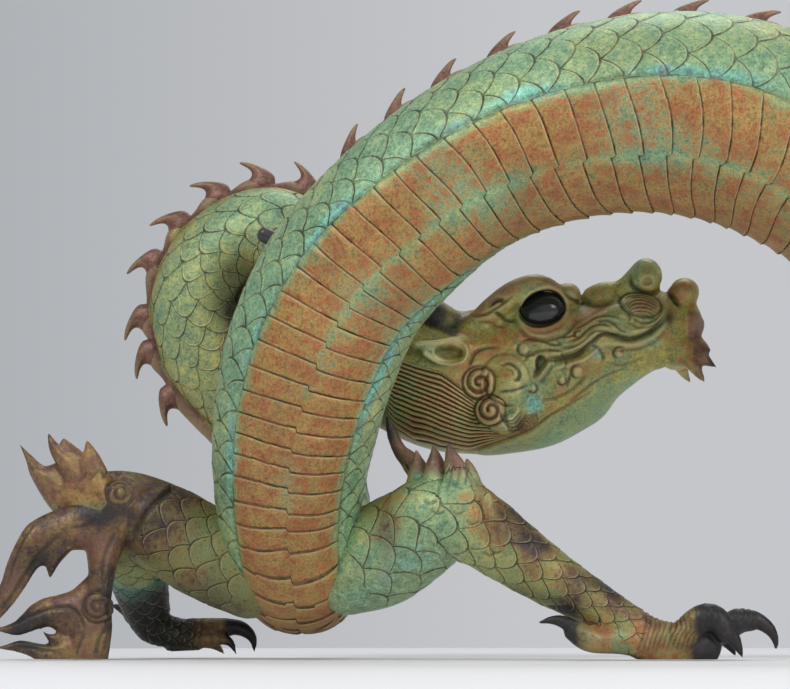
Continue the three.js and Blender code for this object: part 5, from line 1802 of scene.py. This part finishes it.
class DRAGON_OT_stage(bpy.types.Operator):
    """Set the floor, the soft lights and the camera"""

    bl_idname = "dragon.stage"
    bl_label = "Stage"

    def execute(self, context):
        scene = context.scene
        form = bmesh.new()
        bmesh.ops.create_circle(form, cap_ends=True, segments=128, radius=FLOOR_RADIUS)
        mesh = bpy.data.meshes.new("floor")
        form.to_mesh(mesh)
        form.free()
        floor = bpy.data.objects.new("floor", mesh)
        scene.collection.objects.link(floor)
        floor.location = (0.0, 0.0, -0.001)
        plaster = bpy.data.materials.new("painted_plaster_floor")
        plaster.use_nodes = True
        shader = plaster.node_tree.nodes["Principled BSDF"]
        shader.inputs["Base Color"].default_value = tuple(linear("#ebebed")) + (1.0,)
        shader.inputs["Roughness"].default_value = 0.6
        mesh.materials.append(plaster)

        world = bpy.data.worlds.new("studio_grey")
        world.use_nodes = True
        tree = world.node_tree
        tree.nodes.clear()
        way = add(tree, "ShaderNodeTexCoord").outputs["Generated"]
        across = add(tree, "ShaderNodeSeparateXYZ", {0: way}).outputs[0]
        fall = add(tree, "ShaderNodeMapRange", {0: across, 1: -0.25, 2: 0.05}).outputs[0]
        wall = add(tree, "ShaderNodeMix", {0: fall, 6: linear("#a0a5a9") + (1.0,),
                                           7: linear("#c5c6ca") + (1.0,)}, data_type="RGBA").outputs[2]
        air = add(tree, "ShaderNodeBackground", {0: wall, 1: 1.0})
        add(tree, "ShaderNodeOutputWorld", {0: air.outputs[0]})
        scene.world = world
        scene.view_settings.view_transform = "Standard"

        for name, place, power, warmth in LIGHTS:
            lamp = bpy.data.lights.new(name, "AREA")
            lamp.shape = "DISK"
            lamp.size = LIGHT_SIZE
            lamp.energy = power
            lamp.color = warmth
            holder = bpy.data.objects.new(name, lamp)
            scene.collection.objects.link(holder)
            holder.location = place
            aim = Vector(LIGHT_AIM) - holder.location
            holder.rotation_euler = aim.to_track_quat("-Z", "Y").to_euler()

        lens = bpy.data.cameras.new("camera")
        lens.lens = CAMERA_LENS
        lens.sensor_width = 36.0
        holder = bpy.data.objects.new("camera", lens)
        scene.collection.objects.link(holder)
        holder.location = CAMERA_PLACE
        aim = Vector(CAMERA_AIM) - holder.location
        holder.rotation_euler = aim.to_track_quat("-Z", "Y").to_euler()
        scene.camera = holder
        return {"FINISHED"}


class DRAGON_PT_panel(bpy.types.Panel):
    """List the casting's pieces"""

    bl_label = "Dragon"
    bl_idname = "DRAGON_PT_panel"
    bl_space_type = "VIEW_3D"
    bl_region_type = "UI"
    bl_category = "Dragon"

    def draw(self, context):
        for name in DragonSettings.__annotations__:
            self.layout.prop(context.scene.dragon, name)
        for step in STEPS:
            self.layout.operator(step.bl_idname)


STEPS = (DRAGON_OT_trunk, DRAGON_OT_crest_hooks, DRAGON_OT_head, DRAGON_OT_forelegs,
         DRAGON_OT_hind_legs, DRAGON_OT_flames, DRAGON_OT_stage)
CLASSES = (DragonSettings, *STEPS, DRAGON_PT_panel)


def register():
    """Register the classes and give the scene its settings."""
    for item in CLASSES:
        bpy.utils.register_class(item)
    bpy.types.Scene.dragon = bpy.props.PointerProperty(type=DragonSettings)


def unregister():
    """Take the classes and the settings away again."""
    del bpy.types.Scene.dragon
    for item in reversed(CLASSES):
        bpy.utils.unregister_class(item)


def main():
    """Build every piece in order."""
    register()
    for step in STEPS:
        group, name = step.bl_idname.split(".")
        getattr(getattr(bpy.ops, group), name)()


if __name__ == "__main__":
    main()
